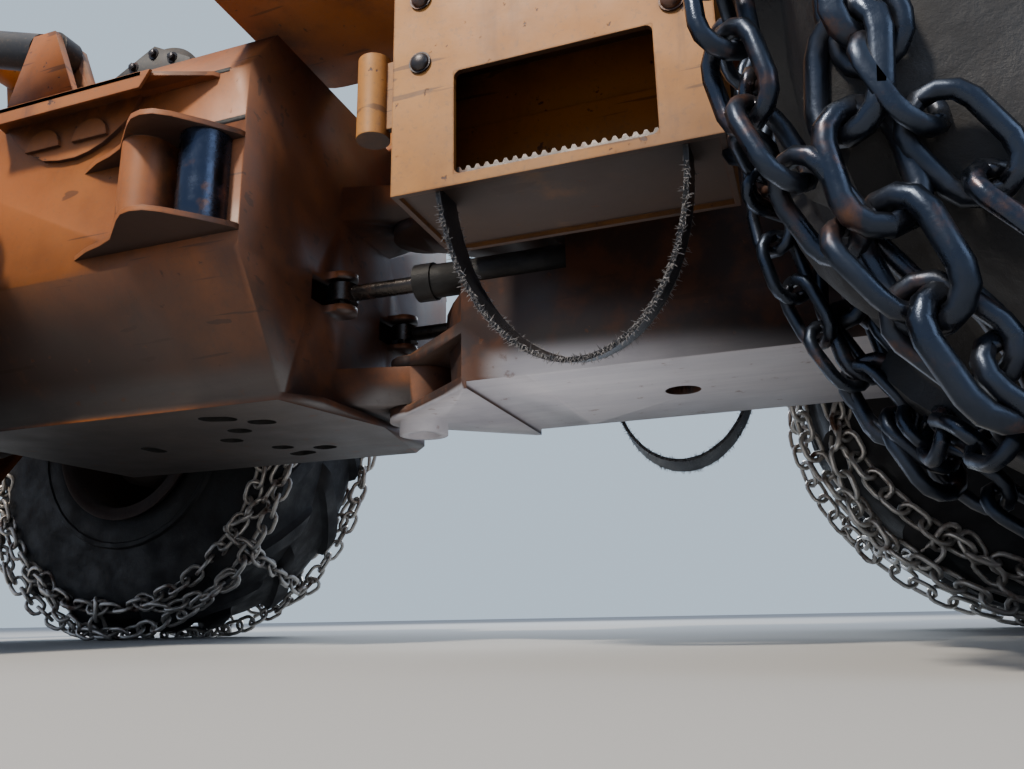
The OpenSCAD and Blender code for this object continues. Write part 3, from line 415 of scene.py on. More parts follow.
def vinyl(name, base):
    board, shader = new_material(name)
    cracks = board.add("ShaderNodeTexVoronoi", {
        "Vector": board.add("ShaderNodeTexCoord").outputs["Object"], "Scale": 260.0},
        feature="DISTANCE_TO_EDGE").outputs["Distance"]
    board.feed(shader.inputs["Base Color"], board.blend(
        blotches(board, 7.0, 0.45, 0.7, 0.5), base, (0.07, 0.062, 0.052, 1)))
    board.feed(shader.inputs["Roughness"], board.ramp(board.noise(9.0), 0.3, 0.7, 0.38, 0.62))
    roughen(board, shader, board.ramp(cracks, 0.0, 0.12), 0.3, 0.001)


def build_materials():
    build_groups()
    worn_paint("yellow_paint", (0.46, 0.165, 0.018, 1), (0.53, 0.225, 0.042, 1), 0.7, 0.9, 0.34)
    worn_paint("frame_paint", (0.36, 0.105, 0.018, 1), (0.42, 0.145, 0.034, 1), 0.9, 1.0, 0.36,
               scraped=((0.040, 0.034, 0.034, 1), (0.15, 0.125, 0.110, 1)))
    # Also darkens the walls between the wheels, with grease and painted shade.
    worn_paint("greased_and_shaded_paint", (0.36, 0.105, 0.018, 1), (0.42, 0.145, 0.034, 1), 0.9, 1.0, 0.36,
               scraped=((0.32, 0.31, 0.35, 1), (0.78, 0.74, 0.73, 1)), inside=1.0)
    worn_paint("step_paint", (0.47, 0.175, 0.018, 1), (0.53, 0.225, 0.036, 1), 0.8, 1.0, 0.40)
    worn_paint("black_paint", (0.016, 0.015, 0.015, 1), (0.034, 0.031, 0.029, 1), 0.5, 0.7, 0.34)
    worn_paint("axle_paint", (0.050, 0.020, 0.013, 1), (0.035, 0.022, 0.017, 1), 0.9, 0.6, 0.50)
    # Near-black rubber, tinted blue as painted skylight.
    rubber("tyre_rubber", (0.0070, 0.0078, 0.0105, 1), (0.022, 0.0180, 0.0170, 1), 0.6, 60.0,
           (0.030, 0.025, 0.022, 1))
    rubber("belt_rubber", (0.010, 0.012, 0.016, 1), (0.040, 0.042, 0.050, 1), 0.5, 140.0,
           (0.30, 0.29, 0.30, 1), (0.22, 0.5))
    rubber("hose_rubber", (0.008, 0.008, 0.009, 1), (0.028, 0.024, 0.020, 1), 0.4, 200.0,
           (0.06, 0.055, 0.05, 1))
    rubber("frayed_cord", (0.19, 0.19, 0.21, 1), (0.36, 0.34, 0.33, 1), 0.7, 200.0,
           (0.40, 0.38, 0.36, 1))
    rubber("oil_black", (0.004, 0.004, 0.004, 1), (0.008, 0.006, 0.005, 1), 0.5, 80.0,
           (0.010, 0.008, 0.007, 1))
    # The near chain's steel is darkened as painted shade and tinted blue as a painted sky
    # reflection; the far chains' steel is a pale copy, brightened as a painted highlight of the
    # back light.
    steel("shaded_chain_steel", (0.060, 0.076, 0.108, 1), (0.014, 0.017, 0.024, 1), 0.28, 0.20, 0.46)
    steel("lit_chain_steel", (0.78, 0.75, 0.70, 1), (0.40, 0.36, 0.32, 1), 0.30, 0.35, 0.6)
    steel("rod_steel", (0.62, 0.62, 0.63, 1), (0.40, 0.40, 0.42, 1), 0.05, 0.12, 0.28)
    steel("oily_rod", (0.10, 0.09, 0.085, 1), (0.04, 0.034, 0.030, 1), 0.35, 0.18, 0.4)
    # Dark steel tinted blue as a painted reflection of the sky.
    steel("roller_steel", (0.060, 0.080, 0.130, 1), (0.020, 0.026, 0.042, 1), 0.22, 0.12, 0.34)
    steel("bolt_steel", (0.085, 0.078, 0.080, 1), (0.035, 0.032, 0.034, 1), 0.45, 0.28, 0.5)
    steel("tread_steel", (0.30, 0.27, 0.25, 1), (0.11, 0.095, 0.085, 1), 0.55, 0.3, 0.6)
    steel("rope_steel", (0.30, 0.29, 0.28, 1), (0.12, 0.11, 0.10, 1), 0.35, 0.3, 0.5)
    steel("engine_metal", (0.20, 0.19, 0.17, 1), (0.10, 0.095, 0.09, 1), 0.4, 0.45, 0.75)
    window_glass("window_glass", (0.80, 0.90, 0.90, 1))
    window_glass("lamp_glass", (0.92, 0.93, 0.90, 1))
    vinyl("seat_vinyl", (0.018, 0.017, 0.017, 1))


# Finishes of the nodes that show as they are; the others are replaced further down
NODE_FINISHES = {
    "step_paint": ("side_steps",),
    "yellow_paint": ("cab_body", "cab_roof", "tanks", "door_left", "door_right", "blade", "arch",
                     "boom", "grapple_head", "tong_left", "tong_right"),
    "black_paint": ("grille", "stacks", "limb_risers", "blade_barrels", "arch_barrels",
                    "boom_barrel", "grapple_cross", "grapple_hanger", "tong_barrel", "controls"),
    "oil_black": ("steer_barrel_left", "steer_barrel_right"),
    "axle_paint": ("front_axle", "rear_axle"),
    "rod_steel": ("blade_rods", "arch_rods", "boom_rod", "tong_rod"),
    "oily_rod": ("steer_rod_left", "steer_rod_right"),
    "engine_metal": ("engine_block",),
    "window_glass": ("cab_glass", "door_glass_left", "door_glass_right"),
}


def finish_nodes():
    for finish, nodes in NODE_FINISHES.items():
        for node in nodes:
            slots = NODES[node].data.materials
            slots.clear()
            slots.append(MATERIALS[finish])


# Meshes and geometry node trees

MERGE_DISTANCE = 1e-5
SHARP_EDGE = math.radians(38)
SOFT_EDGE = math.radians(70)


def new_object(name, data):
    """A new object in the scene."""
    made = bpy.data.objects.new(name, data)
    bpy.context.scene.collection.objects.link(made)
    return made


def place(name, mesh, body, slot):
    """A piece that rides on a body."""
    made = new_object(name, mesh)
    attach(made, body)
    return made


def evaluated_mesh(item):
    """An object's mesh with its modifiers applied."""
    bpy.context.view_layer.update()
    view = bpy.context.evaluated_depsgraph_get()
    return bpy.data.meshes.new_from_object(item.evaluated_get(view), depsgraph=view)


def merge_corners(mesh, recalculate=False):
    """Joins corners that lie on each other, and can turn all the faces outwards."""
    bm = bmesh.new()
    bm.from_mesh(mesh)
    bmesh.ops.remove_doubles(bm, verts=bm.verts, dist=MERGE_DISTANCE)
    if recalculate:
        bmesh.ops.recalc_face_normals(bm, faces=bm.faces)
    bm.to_mesh(mesh)
    bm.free()


def copy_of(node):
    """A merged copy of a node's mesh, without its materials."""
    mesh = NODES[node].data.copy()
    merge_corners(mesh)
    mesh.materials.clear()
    return mesh


def shade_smooth(mesh, angle=SHARP_EDGE):
    mesh.polygons.foreach_set("use_smooth", [True] * len(mesh.polygons))
    mesh.set_sharp_from_angle(angle=angle)


def make_mesh(name, points, faces, finish, smooth=True):
    mesh = bpy.data.meshes.new(name)
    mesh.from_pydata([tuple(point) for point in points], [], faces)
    mesh.materials.append(MATERIALS[finish])
    bm = bmesh.new()
    bm.from_mesh(mesh)
    bmesh.ops.recalc_face_normals(bm, faces=bm.faces)
    bm.to_mesh(mesh)
    bm.free()
    if smooth:
        shade_smooth(mesh)
    return mesh


def new_tree(name, inputs):
    """A geometry node tree whose inputs are floats, integers or an object's own geometry."""
    tree = bpy.data.node_groups.new(name, "GeometryNodeTree")
    tree.interface.new_socket(name="Geometry", in_out="INPUT", socket_type="NodeSocketGeometry")
    tree.interface.new_socket(name="Geometry", in_out="OUTPUT", socket_type="NodeSocketGeometry")
    for socket, value in inputs.items():
        kind = "NodeSocketInt" if isinstance(value, int) else "NodeSocketFloat"
        tree.interface.new_socket(name=socket, in_out="INPUT", socket_type=kind)
    board = Board(tree)
    return board, board.add("NodeGroupInput").outputs, board.add("NodeGroupOutput").inputs


def close_tree(board, out, geometry, finish):
    """Ends a tree in plain meshes with their material."""
    plain = board.add("GeometryNodeRealizeInstances", {0: geometry})
    painted = board.add("GeometryNodeSetMaterial", {
        "Geometry": plain.outputs[0], "Material": MATERIALS[finish]})
    board.feed(out["Geometry"], painted.outputs[0])
    return board.tree


def grow(name, data, tree, sizes, body, slot):
    """Runs a tree on a curve or mesh, and keeps the result as a plain mesh on a body."""
    seed = new_object(f"{name}_path", data)
    modifier = seed.modifiers.new("grow", "NODES")
    modifier.node_group = tree
    for item in tree.interface.items_tree:
        if item.in_out == "INPUT" and item.name in sizes:
            modifier[item.identifier] = sizes[item.name]
    mesh = evaluated_mesh(seed)
    mesh.name = name
    bpy.data.objects.remove(seed)
    return place(name, mesh, body, slot)


def spin(board, first, second):
    """A rotation followed by another about the turned axes."""
    node = board.add("FunctionNodeRotateRotation", rotation_space="LOCAL")
    board.feed(node.inputs[0], first)
    board.feed(node.inputs[1], second)
    return node.outputs[0]


def euler(board, **angles):
    turned = board.add("ShaderNodeCombineXYZ", angles).outputs[0]
    return board.add("FunctionNodeEulerToRotation", {0: turned}).outputs[0]


def chance(board, low, high, seed, offset=0):
    node = board.add("FunctionNodeRandomValue", data_type="FLOAT")
    node.inputs[2].default_value = low
    node.inputs[3].default_value = high
    if offset:
        seed = board.add("ShaderNodeMath", {0: seed, 1: float(offset)}, operation="ADD").outputs[0]
    board.feed(node.inputs["Seed"], seed)
    return node.outputs[1]


def chain_tree(name, finish):
    """Welded oval links along a path, each turned against the last."""
    sizes = {"Pitch": 0.06, "Half length": 0.045, "Half width": 0.028, "Wire": 0.011,
             "Lean": 0.6, "Looseness": 0.12, "Sides": 6, "Seed": 1}
    board, given, out = new_tree(name, sizes)
    oval = board.add("GeometryNodeCurvePrimitiveQuadrilateral", {
        "Width": board.times(given["Half length"], 2.0),
        "Height": board.times(given["Half width"], 2.0)})
    oval = board.add("GeometryNodeFilletCurve", {
        "Curve": oval.outputs[0], "Radius": board.times(given["Half width"], 0.999)})
    oval.mode = "POLY"
    oval.inputs["Count"].default_value = 3
    wire = board.add("GeometryNodeCurvePrimitiveCircle", {"Resolution": given["Sides"]})
    board.feed(wire.inputs["Radius"], given["Wire"])
    link = board.add("GeometryNodeCurveToMesh", {
        "Curve": oval.outputs[0], "Profile Curve": wire.outputs[0]})
    link = board.add("GeometryNodeSetShadeSmooth", {"Geometry": link.outputs[0]})
    spaced = board.add("GeometryNodeResampleCurve", {"Curve": given["Geometry"]}, mode="LENGTH")
    board.feed(spaced.inputs["Length"], given["Pitch"])
    points = board.add("GeometryNodeCurveToPoints", {"Curve": spaced.outputs[0]},
                       mode="EVALUATED")
    number = board.add("GeometryNodeInputIndex").outputs[0]
    parity = board.math("MODULO", number, 2.0)
    lean = board.times(board.math("SUBTRACT", board.times(parity, 2.0), 1.0), given["Lean"])
    turn = board.times(chance(board, -1.0, 1.0, given["Seed"]), given["Looseness"])
    turn = board.add("ShaderNodeMath", {0: lean, 1: turn}, operation="ADD").outputs[0]
    nod = board.times(chance(board, -0.5, 0.5, given["Seed"], 7), given["Looseness"])
    rotated = spin(board, points.outputs["Rotation"], euler(board, Y=-math.pi / 2))
    rolled = spin(board, rotated, euler(board, X=turn, Y=nod))
    links = board.add("GeometryNodeInstanceOnPoints", {
        "Points": points.outputs["Points"], "Instance": link.outputs[0], "Rotation": rolled})
    return close_tree(board, out, links.outputs[0], finish)


def tube_tree(name, finish):
    """A round tube or rope along each path."""
    board, given, out = new_tree(name, {"Radius": 0.01, "Sides": 8})
    ring = board.add("GeometryNodeCurvePrimitiveCircle", {"Resolution": given["Sides"]})
    board.feed(ring.inputs["Radius"], given["Radius"])
    tube = board.add("GeometryNodeCurveToMesh", {
        "Curve": given["Geometry"], "Profile Curve": ring.outputs[0], "Fill Caps": True})
    smooth = board.add("GeometryNodeSetShadeSmooth", {"Geometry": tube.outputs[0]})
    return close_tree(board, out, smooth.outputs[0], finish)


def spots_tree(name, shape, finish, inputs):
    """Small pieces on points, each along the point's own direction."""
    board, given, out = new_tree(name, inputs | {"Wobble": 0.0, "Seed": 1})
    outward = board.add("GeometryNodeInputNamedAttribute", data_type="FLOAT_VECTOR")
    outward.inputs["Name"].default_value = "outward"
    aligned = board.add("FunctionNodeAlignRotationToVector", axis="Z")
    board.feed(aligned.inputs["Vector"], outward.outputs[0])
    lean_x = board.times(chance(board, -1.0, 1.0, given["Seed"]), given["Wobble"])
    lean_y = board.times(chance(board, -1.0, 1.0, given["Seed"], 3), given["Wobble"])
    roll = chance(board, 0.0, math.tau, given["Seed"], 5)
    turned = spin(board, aligned.outputs[0], euler(board, X=lean_x, Y=lean_y))
    turned = spin(board, turned, euler(board, Z=roll))
    size = chance(board, 0.75, 1.1, given["Seed"], 9) if "Length" in inputs else 1.0
    scale = board.add("ShaderNodeCombineXYZ", {"X": 1.0, "Y": 1.0, "Z": size}).outputs[0]
    spots = board.add("GeometryNodeInstanceOnPoints", {
        "Points": given["Geometry"], "Instance": shape(board, given), "Rotation": turned,
        "Scale": scale})
    return close_tree(board, out, spots.outputs[0], finish)


def moved(board, geometry, height, scale=(1, 1, 1)):
    lift = board.add("ShaderNodeCombineXYZ", {"Z": height}).outputs[0]
    node = board.add("GeometryNodeTransform", {
        "Geometry": geometry, "Translation": lift, "Scale": scale})
    return node.outputs[0]


def bolt_shape(board, given):
    """A hexagon head with a domed top on a washer."""
    radius = given["Radius"]
    washer = board.add("GeometryNodeMeshCylinder", {
        "Vertices": 16, "Radius": board.times(radius, 1.5),
        "Depth": board.times(radius, 0.3)})
    head = board.add("GeometryNodeMeshCylinder", {
        "Vertices": 6, "Radius": radius, "Depth": board.times(radius, 0.9)})
    dome = board.add("GeometryNodeMeshUVSphere", {
        "Segments": 10, "Rings": 6, "Radius": board.times(radius, 0.8)})
    join = board.add("GeometryNodeJoinGeometry")
    for part in (washer.outputs[0],
                 moved(board, head.outputs[0], board.times(radius, 0.5)),
                 moved(board, dome.outputs[0], board.times(radius, 0.92),
                       (1, 1, 0.35))):
        board.tree.links.new(part, join.inputs[0])
    return join.outputs[0]


def dome_shape(board, given):
    """A domed stud with a flat rim."""
    radius = given["Radius"]
    rim = board.add("GeometryNodeMeshCylinder", {
        "Vertices": 20, "Radius": radius, "Depth": board.times(radius, 0.35)})
    dome = board.add("GeometryNodeMeshUVSphere", {
        "Segments": 20, "Rings": 10, "Radius": board.times(radius, 0.86)})
    dome = board.add("GeometryNodeSetShadeSmooth", {"Geometry": dome.outputs[0]})
    join = board.add("GeometryNodeJoinGeometry")
    for part in (rim.outputs[0],
                 moved(board, dome.outputs[0], board.times(radius, 0.15), (1, 1, 0.55))):
        board.tree.links.new(part, join.inputs[0])
    return join.outputs[0]


def hair_shape(board, given):
    """A thin ragged thread."""
    thread = board.add("GeometryNodeMeshCone", {
        "Vertices": 4, "Radius Bottom": given["Radius"], "Radius Top": 0.0002,
        "Depth": given["Length"]})
    return thread.outputs[0]


TREES = {}


def build_trees():
    TREES["near_chain"] = chain_tree("near_chain_links", "shaded_chain_steel")
    TREES["far_chain"] = chain_tree("far_chain_links", "lit_chain_steel")
    TREES["hose"] = tube_tree("hoses", "hose_rubber")
    TREES["rope"] = tube_tree("ropes", "rope_steel")
    TREES["rail"] = tube_tree("rails", "yellow_paint")
    TREES["pipe"] = tube_tree("pipes", "black_paint")
    TREES["bolt"] = spots_tree("bolts", bolt_shape, "bolt_steel", {"Radius": 0.012})
    TREES["stud"] = spots_tree("domed_bolts", dome_shape, "bolt_steel", {"Radius": 0.022})
    TREES["hair"] = spots_tree("frayed_threads", hair_shape, "frayed_cord",
                               {"Radius": 0.0012, "Length": 0.012})


def path_curve(name, lines):
    """A curve with one poly spline for each line; a line is (points, is it closed)."""
    curve = bpy.data.curves.new(name, "CURVE")
    curve.dimensions = "3D"
    for points, closed in lines:
        spline = curve.splines.new("POLY")
        spline.points.add(len(points) - 1)
        for point, spot in zip(points, spline.points):
            spot.co = (*point, 1)
        spline.use_cyclic_u = closed
    return curve


def rounded_path(points, steps=6):
    """A smooth line through a few points."""
    ends = [points[0] * 2 - points[1]] + list(points) + [points[-1] * 2 - points[-2]]
    line = []
    for i in range(1, len(ends) - 2):
        before, here, there, after = ends[i - 1:i + 3]
        for k in range(steps):
            t = k / steps
            line.append(0.5 * (2 * here + (there - before) * t
                               + (2 * before - 5 * here + 4 * there - after) * t * t
                               + (3 * here - before - 3 * there + after) * t ** 3))
    line.append(Vector(points[-1]))
    return line


def tubes(name, tree, lines, radius, body, slot, sides=8, steps=6):
    """Round tubes through the given points."""
    curve = path_curve(name, [(rounded_path(line, steps), False) for line in lines])
    grow(name, curve, TREES[tree], {"Radius": radius, "Sides": sides}, body, slot)


def spots_mesh(name, spots):
    """Loose points with a direction each."""
    mesh = bpy.data.meshes.new(name)
    mesh.from_pydata([tuple(point) for point, _ in spots], [], [])
    kept = mesh.attributes.new("outward", "FLOAT_VECTOR", "POINT")
    kept.data.foreach_set("vector", [c for _, way in spots for c in way])
    return mesh


def bolts(name, spots, radius, body, tree="bolt"):
    """Bolt heads at (place, direction) pairs."""
    grow(name, spots_mesh(name, spots), TREES[tree], {"Radius": radius, "Seed": 2}, body,
         "cast_iron")


def both(points, way):
    """The given places on both sides of the machine."""
    spots = []
    for point in points:
        for side in (-1, 1):
            spots.append((Vector((point[0], side * point[1], point[2])),
                          Vector((way[0], side * way[1], way[2]))))
    return spots


class Shape:
    """Gathers plates and rounds into one mesh."""

    def __init__(self):
        self.points = []
        self.faces = []

    def sweep(self, outline, depth):
        """A closed outline of places, carried along depth."""
        start, count = len(self.points), len(outline)
        self.points += [Vector(p) for p in outline] + [Vector(p) + depth for p in outline]
        self.faces.append(tuple(range(start + count - 1, start - 1, -1)))
        self.faces.append(tuple(range(start + count, start + 2 * count)))
        for i in range(count):
            j = (i + 1) % count
            self.faces.append((start + i, start + j, start + count + j, start + count + i))

    def plate(self, axis, outline, low, high):
        """An outline in two axes, from low to high along the third; X is from the pivot."""
        if axis == "x":
            self.sweep([at(low, a, b) for a, b in outline], Vector((high - low, 0, 0)))
        elif axis == "y":
            self.sweep([at(a, low, b) for a, b in outline], Vector((0, high - low, 0)))
        else:
            self.sweep([at(a, b, low) for a, b in outline], Vector((0, 0, high - low)))

    def both(self, axis, outline, low, high):
        """A plate and its mirror image on the other side of the machine."""
        self.plate(axis, outline, low, high)
        if axis == "y":
            self.plate(axis, outline, -low, -high)
        elif axis == "x":
            self.plate(axis, [(-a, b) for a, b in outline], low, high)
        else:
            self.plate(axis, [(a, -b) for a, b in outline], low, high)

    def mesh(self, name, finish, smooth=True):
        return make_mesh(name, self.points, self.faces, finish, smooth)


def arc(middle, radius, start, end, steps):
    """Points on an arc, in degrees."""
    angles = [math.radians(start + (end - start) * i / steps) for i in range(steps + 1)]
    return [(middle[0] + radius * math.cos(a), middle[1] + radius * math.sin(a)) for a in angles]


def circle(middle, radius):
    return arc(middle, radius, 0, 345, 23)


def soft_box(low, high, radius, steps=4):
    """A rectangle with rounded corners."""
    return (arc((high[0] - radius, high[1] - radius), radius, 0, 90, steps)
            + arc((low[0] + radius, high[1] - radius), radius, 90, 180, steps)
            + arc((low[0] + radius, low[1] + radius), radius, 180, 270, steps)
            + arc((high[0] - radius, low[1] + radius), radius, 270, 360, steps))


def carve(node, shape, body, finish, cut_finish=None):
    """A copy of a node with a shape cut out of it stands for the node."""
    mesh = copy_of(node)
    mesh.materials.append(MATERIALS[finish])
    mesh.materials.append(MATERIALS[cut_finish or finish])
    mesh.polygons.foreach_set("material_index", [0] * len(mesh.polygons))
    cutter_mesh = shape.mesh(f"{node}_cutter", finish, False)
    cutter_mesh.materials.append(MATERIALS[cut_finish or finish])
    cutter_mesh.polygons.foreach_set("material_index", [1] * len(cutter_mesh.polygons))
    blank = new_object(f"{node}_blank", mesh)
    cutter = new_object(f"{node}_cutter", cutter_mesh)
    modifier = blank.modifiers.new("carve", "BOOLEAN")
    modifier.operation = "DIFFERENCE"
    modifier.solver = "EXACT"
    modifier.object = cutter
    result = evaluated_mesh(blank)
    for item in (blank, cutter):
        bpy.data.objects.remove(item)
    shade_smooth(result)
    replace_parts(place(f"{node}_carved", result, body, "yellow_paint"), node)


def fit(name, shape, finish, body, slot, stands_for=None, smooth=True):
    """Makes a shape a piece on a body, in the place of a node where one is named."""
    made = place(name, shape.mesh(name, finish, smooth), body, slot)
    if stands_for:
        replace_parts(made, stands_for)


# Tyres: a carcass with rounded shoulders, and lugs that run in from both shoulders

TYRE_HALF = 0.306
LUGS = 13
LUG_SHARE = 0.36
TREAD_PROFILE = (
    # share of the half width, radius, radius on a lug, turn along the lug
    (0.980, 0.331, 0.331, 1.0), (1.020, 0.352, 0.352, 1.0), (1.030, 0.400, 0.400, 1.0),
    (1.020, 0.440, 0.440, 1.0), (1.038, 0.446, 0.446, 1.0), (1.038, 0.462, 0.462, 1.0),
    (1.000, 0.470, 0.470, 1.0), (1.000, 0.560, 0.560, 1.0), (0.990, 0.630, 0.636, 1.0),
    (0.965, 0.690, 0.716, 0.97), (0.925, 0.728, 0.776, 0.94), (0.860, 0.750, 0.797, 0.88),
    (0.700, 0.763, 0.801, 0.70), (0.450, 0.770, 0.805, 0.46), (0.200, 0.772, 0.806, 0.22),
    (0.080, 0.772, 0.804, 0.10), (0.020, 0.772, 0.790, 0.05), (-0.030, 0.768, 0.768, 0.0))
LUG_SECTION = ((0.0, 0.0), (0.05, 0.10), (0.16, 0.93), (0.5, 1.0), (0.84, 0.93), (0.95, 0.10),
               (1.0, 0.0))


def tyre_half(centre, side, points, faces, chip):
    start = len(points)
    columns = []
    for lug in range(LUGS):
        columns += [(lug + share * LUG_SHARE, rise) for share, rise in LUG_SECTION]
        columns.append((lug + (1 + LUG_SHARE) / 2, 0.0))
    offset = 0.5 if side > 0 else 0.0
    for share, low, high, turn in TREAD_PROFILE:
        for column, rise in columns:
            angle = (column + offset + 0.9 * turn) * math.tau / LUGS
            worn = 1 - 0.12 * chip[int(column) % len(chip)] if rise > 0.5 else 1
            radius = low + (high - low) * rise * worn
            points.append(centre + Vector((radius * math.sin(angle), side * share * TYRE_HALF,
                                           radius * math.cos(angle))))
    count = len(columns)
    for ring in range(len(TREAD_PROFILE) - 1):
        for i in range(count):
            j = (i + 1) % count
            row = start + ring * count
            faces.append((row + i, row + j, row + count + j, row + count + i))


def make_tyres():
    dice = random.Random(11)
    for name, body in WHEELS.items():
        points, faces = [], []
        chip = [dice.random() for _ in range(LUGS)]
        for side in (-1, 1):
            tyre_half(wheel_centre(name), side, points, faces, chip)
        made = place(f"tyre_{name}_rubber", make_mesh(f"tyre_{name}", points, faces, "tyre_rubber"),
                     body, "tyre_rubber")
        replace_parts(made, f"tyre_{name}")


# Tyre chains: rails on the walls, rings round the shoulders and strands across the tread

STRANDS = 8
STRAND_LEAN = math.radians(7.1)
RAIL_RADIUS = 0.700
RAIL_SIDE = 0.308
RING_RADIUS = 0.800
RING_SIDE = 0.284
# Half of the width that a wheel may take up
CHAIN_REACH = 0.3345
GROUND_GAP = 0.001
SLACK_AT = math.radians(-116)
OUTER_SLACK = 0.046
INNER_SLACK = 0.024
HANGER_AT = -103
HANGER_COURSE = (
    # radius, place across the wheel, degrees turned back
    (0.700, 0.308, 0), (0.735, 0.306, 3), (0.755, 0.304, 9), (0.785, 0.300, 17),
    (0.800, 0.297, 22), (0.815, 0.292, 28))
LINKS = {
    "near": {"Pitch": 0.088, "Half length": 0.058, "Half width": 0.033, "Wire": 0.0105,
             "Lean": 0.62, "Looseness": 0.30, "Sides": 8, "Seed": 3},
    "heavy": {"Pitch": 0.099, "Half length": 0.066, "Half width": 0.037, "Wire": 0.0130,
              "Lean": 0.62, "Looseness": 0.25, "Sides": 10, "Seed": 8},
    "far": {"Pitch": 0.070, "Half length": 0.047, "Half width": 0.028, "Wire": 0.0085,
            "Lean": 0.62, "Looseness": 0.45, "Sides": 6, "Seed": 5},
}


def round_axle(centre, radius, across, angle):
    """A place round a level axle, at an angle from the top."""
    return centre + Vector((radius * math.sin(angle), across, radius * math.cos(angle)))


def slack_here(angle):
    """How slack a chain is at an angle: most low down behind the axle."""
    return max(0.0, math.cos(angle - SLACK_AT)) ** 2


def ring_line(centre, side, radius, slack, dice):
    """A ring of chain that sags between the strands where it is slack."""
    line = []
    for i in range(96):
        angle = math.tau * i / 96
        between = abs(math.sin(angle * STRANDS / 2))
        sag = slack * slack_here(angle) * (0.75 + 0.25 * between)
        line.append(round_axle(centre, radius + sag + dice.uniform(-0.003, 0.003), side, angle))
    return line


def strand_line(centre, i, wire, dice):
    top = 0.8055 + wire + 0.002
    profile = [(RAIL_RADIUS + 0.012, RAIL_SIDE), (0.745, 0.305), (0.788, 0.282),
               (top - 0.004, 0.245), (top, 0.180), (top, 0.080)]
    course = [(r, -y) for r, y in profile] + [(r, y) for r, y in reversed(profile)]
    middle = math.tau * i / STRANDS
    lean = STRAND_LEAN if i % 2 else -STRAND_LEAN
    line = []
    for radius, across in course:
        angle = middle + lean * across / RAIL_SIDE
        line.append(round_axle(centre, radius + dice.uniform(0, 0.002), across, angle))
    return rounded_path(line, 3)


def hanger_line(centre, side, i, slack):
    """A loose length from a rail out to the ring on the shoulder."""
    last_turn = HANGER_COURSE[-1][2]
    line = []
    for radius, across, turn in HANGER_COURSE:
        angle = math.radians(HANGER_AT + 360 / STRANDS * i - turn)
        loose = slack * slack_here(angle) * (turn / last_turn) * 0.6
        line.append(round_axle(centre, radius + loose, side * across, angle))
    return rounded_path(line, 3)


def settle(piece, centre):
    """Presses the links flat on the ground, and keeps them within the wheel's width."""
    for vertex in piece.data.vertices:
        vertex.co.z = max(vertex.co.z, GROUND_GAP)
        across = vertex.co.y - centre.y
        vertex.co.y = centre.y + max(-CHAIN_REACH, min(CHAIN_REACH, across))


def make_chains():
    dice = random.Random(23)
    for name, body in WHEELS.items():
        kind = "near" if name.startswith("front_right") else "far"
        outer = 1 if name.endswith("left") else -1
        slacks = {outer: OUTER_SLACK, -outer: INNER_SLACK}
        centre = wheel_centre(name)
        lines = []
        for side in (-1, 1):
            lines.append((ring_line(centre, side * RAIL_SIDE, RAIL_RADIUS, 0.02, dice), True))
            lines.append((ring_line(centre, side * RING_SIDE, RING_RADIUS, slacks[side], dice),
                          True))
        lines += [(strand_line(centre, i, LINKS[kind]["Wire"], dice), False)
                  for i in range(STRANDS)]
        made = grow(f"tyre_chain_{name}", path_curve(f"chain_{name}", lines),
                    TREES[f"{kind}_chain"], LINKS[kind], body, "bare_steel")
        settle(made, centre)
        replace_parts(made, f"tyre_{name}")
        hangers = [(hanger_line(centre, side, i, slacks[side]), False)
                   for side in (-1, 1) for i in range(STRANDS)]
        hung = grow(f"loose_chain_{name}", path_curve(f"loose_{name}", hangers),
                    TREES[f"{kind}_chain"], LINKS["heavy" if kind == "near" else "far"], body,
                    "bare_steel")
        settle(hung, centre)
        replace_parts(hung, f"tyre_{name}")


# Side steps: hanging belts, toothed treads and domed bolts

STEP_SIDE = 0.784
# Height of the lower edge of each step window
STEP_WINDOWS = (0.877, 1.302)
BELT_WIDTH = 0.084
BELT_HALF = 0.243
BELT_DROP = 0.367
BELT_THICK = 0.011
BELT_LEAN = math.radians(15)
BELT_TOP = 0.8647
STEP_MIDDLE = 0.6265


def belt_frames(side, steps):
    """Places along the belt's outer face with the way across it and the way out of it."""
    across = Vector((0, -side * math.cos(BELT_LEAN), math.sin(BELT_LEAN)))
    down = Vector((0, -side * math.sin(BELT_LEAN), -math.cos(BELT_LEAN)))
    hung_at = at(STEP_MIDDLE, side * 0.771, BELT_TOP)
    frames = []
    for i in range(steps + 1):
        angle = math.pi * i / steps
        spot = hung_at + Vector((-BELT_HALF * math.cos(angle), 0, 0)) \
            + down * BELT_DROP * math.sin(angle)
        out = Vector((-math.cos(angle) * BELT_DROP, 0, 0)) + down * math.sin(angle) * BELT_HALF
        frames.append((spot, across, out.normalized()))
    return frames


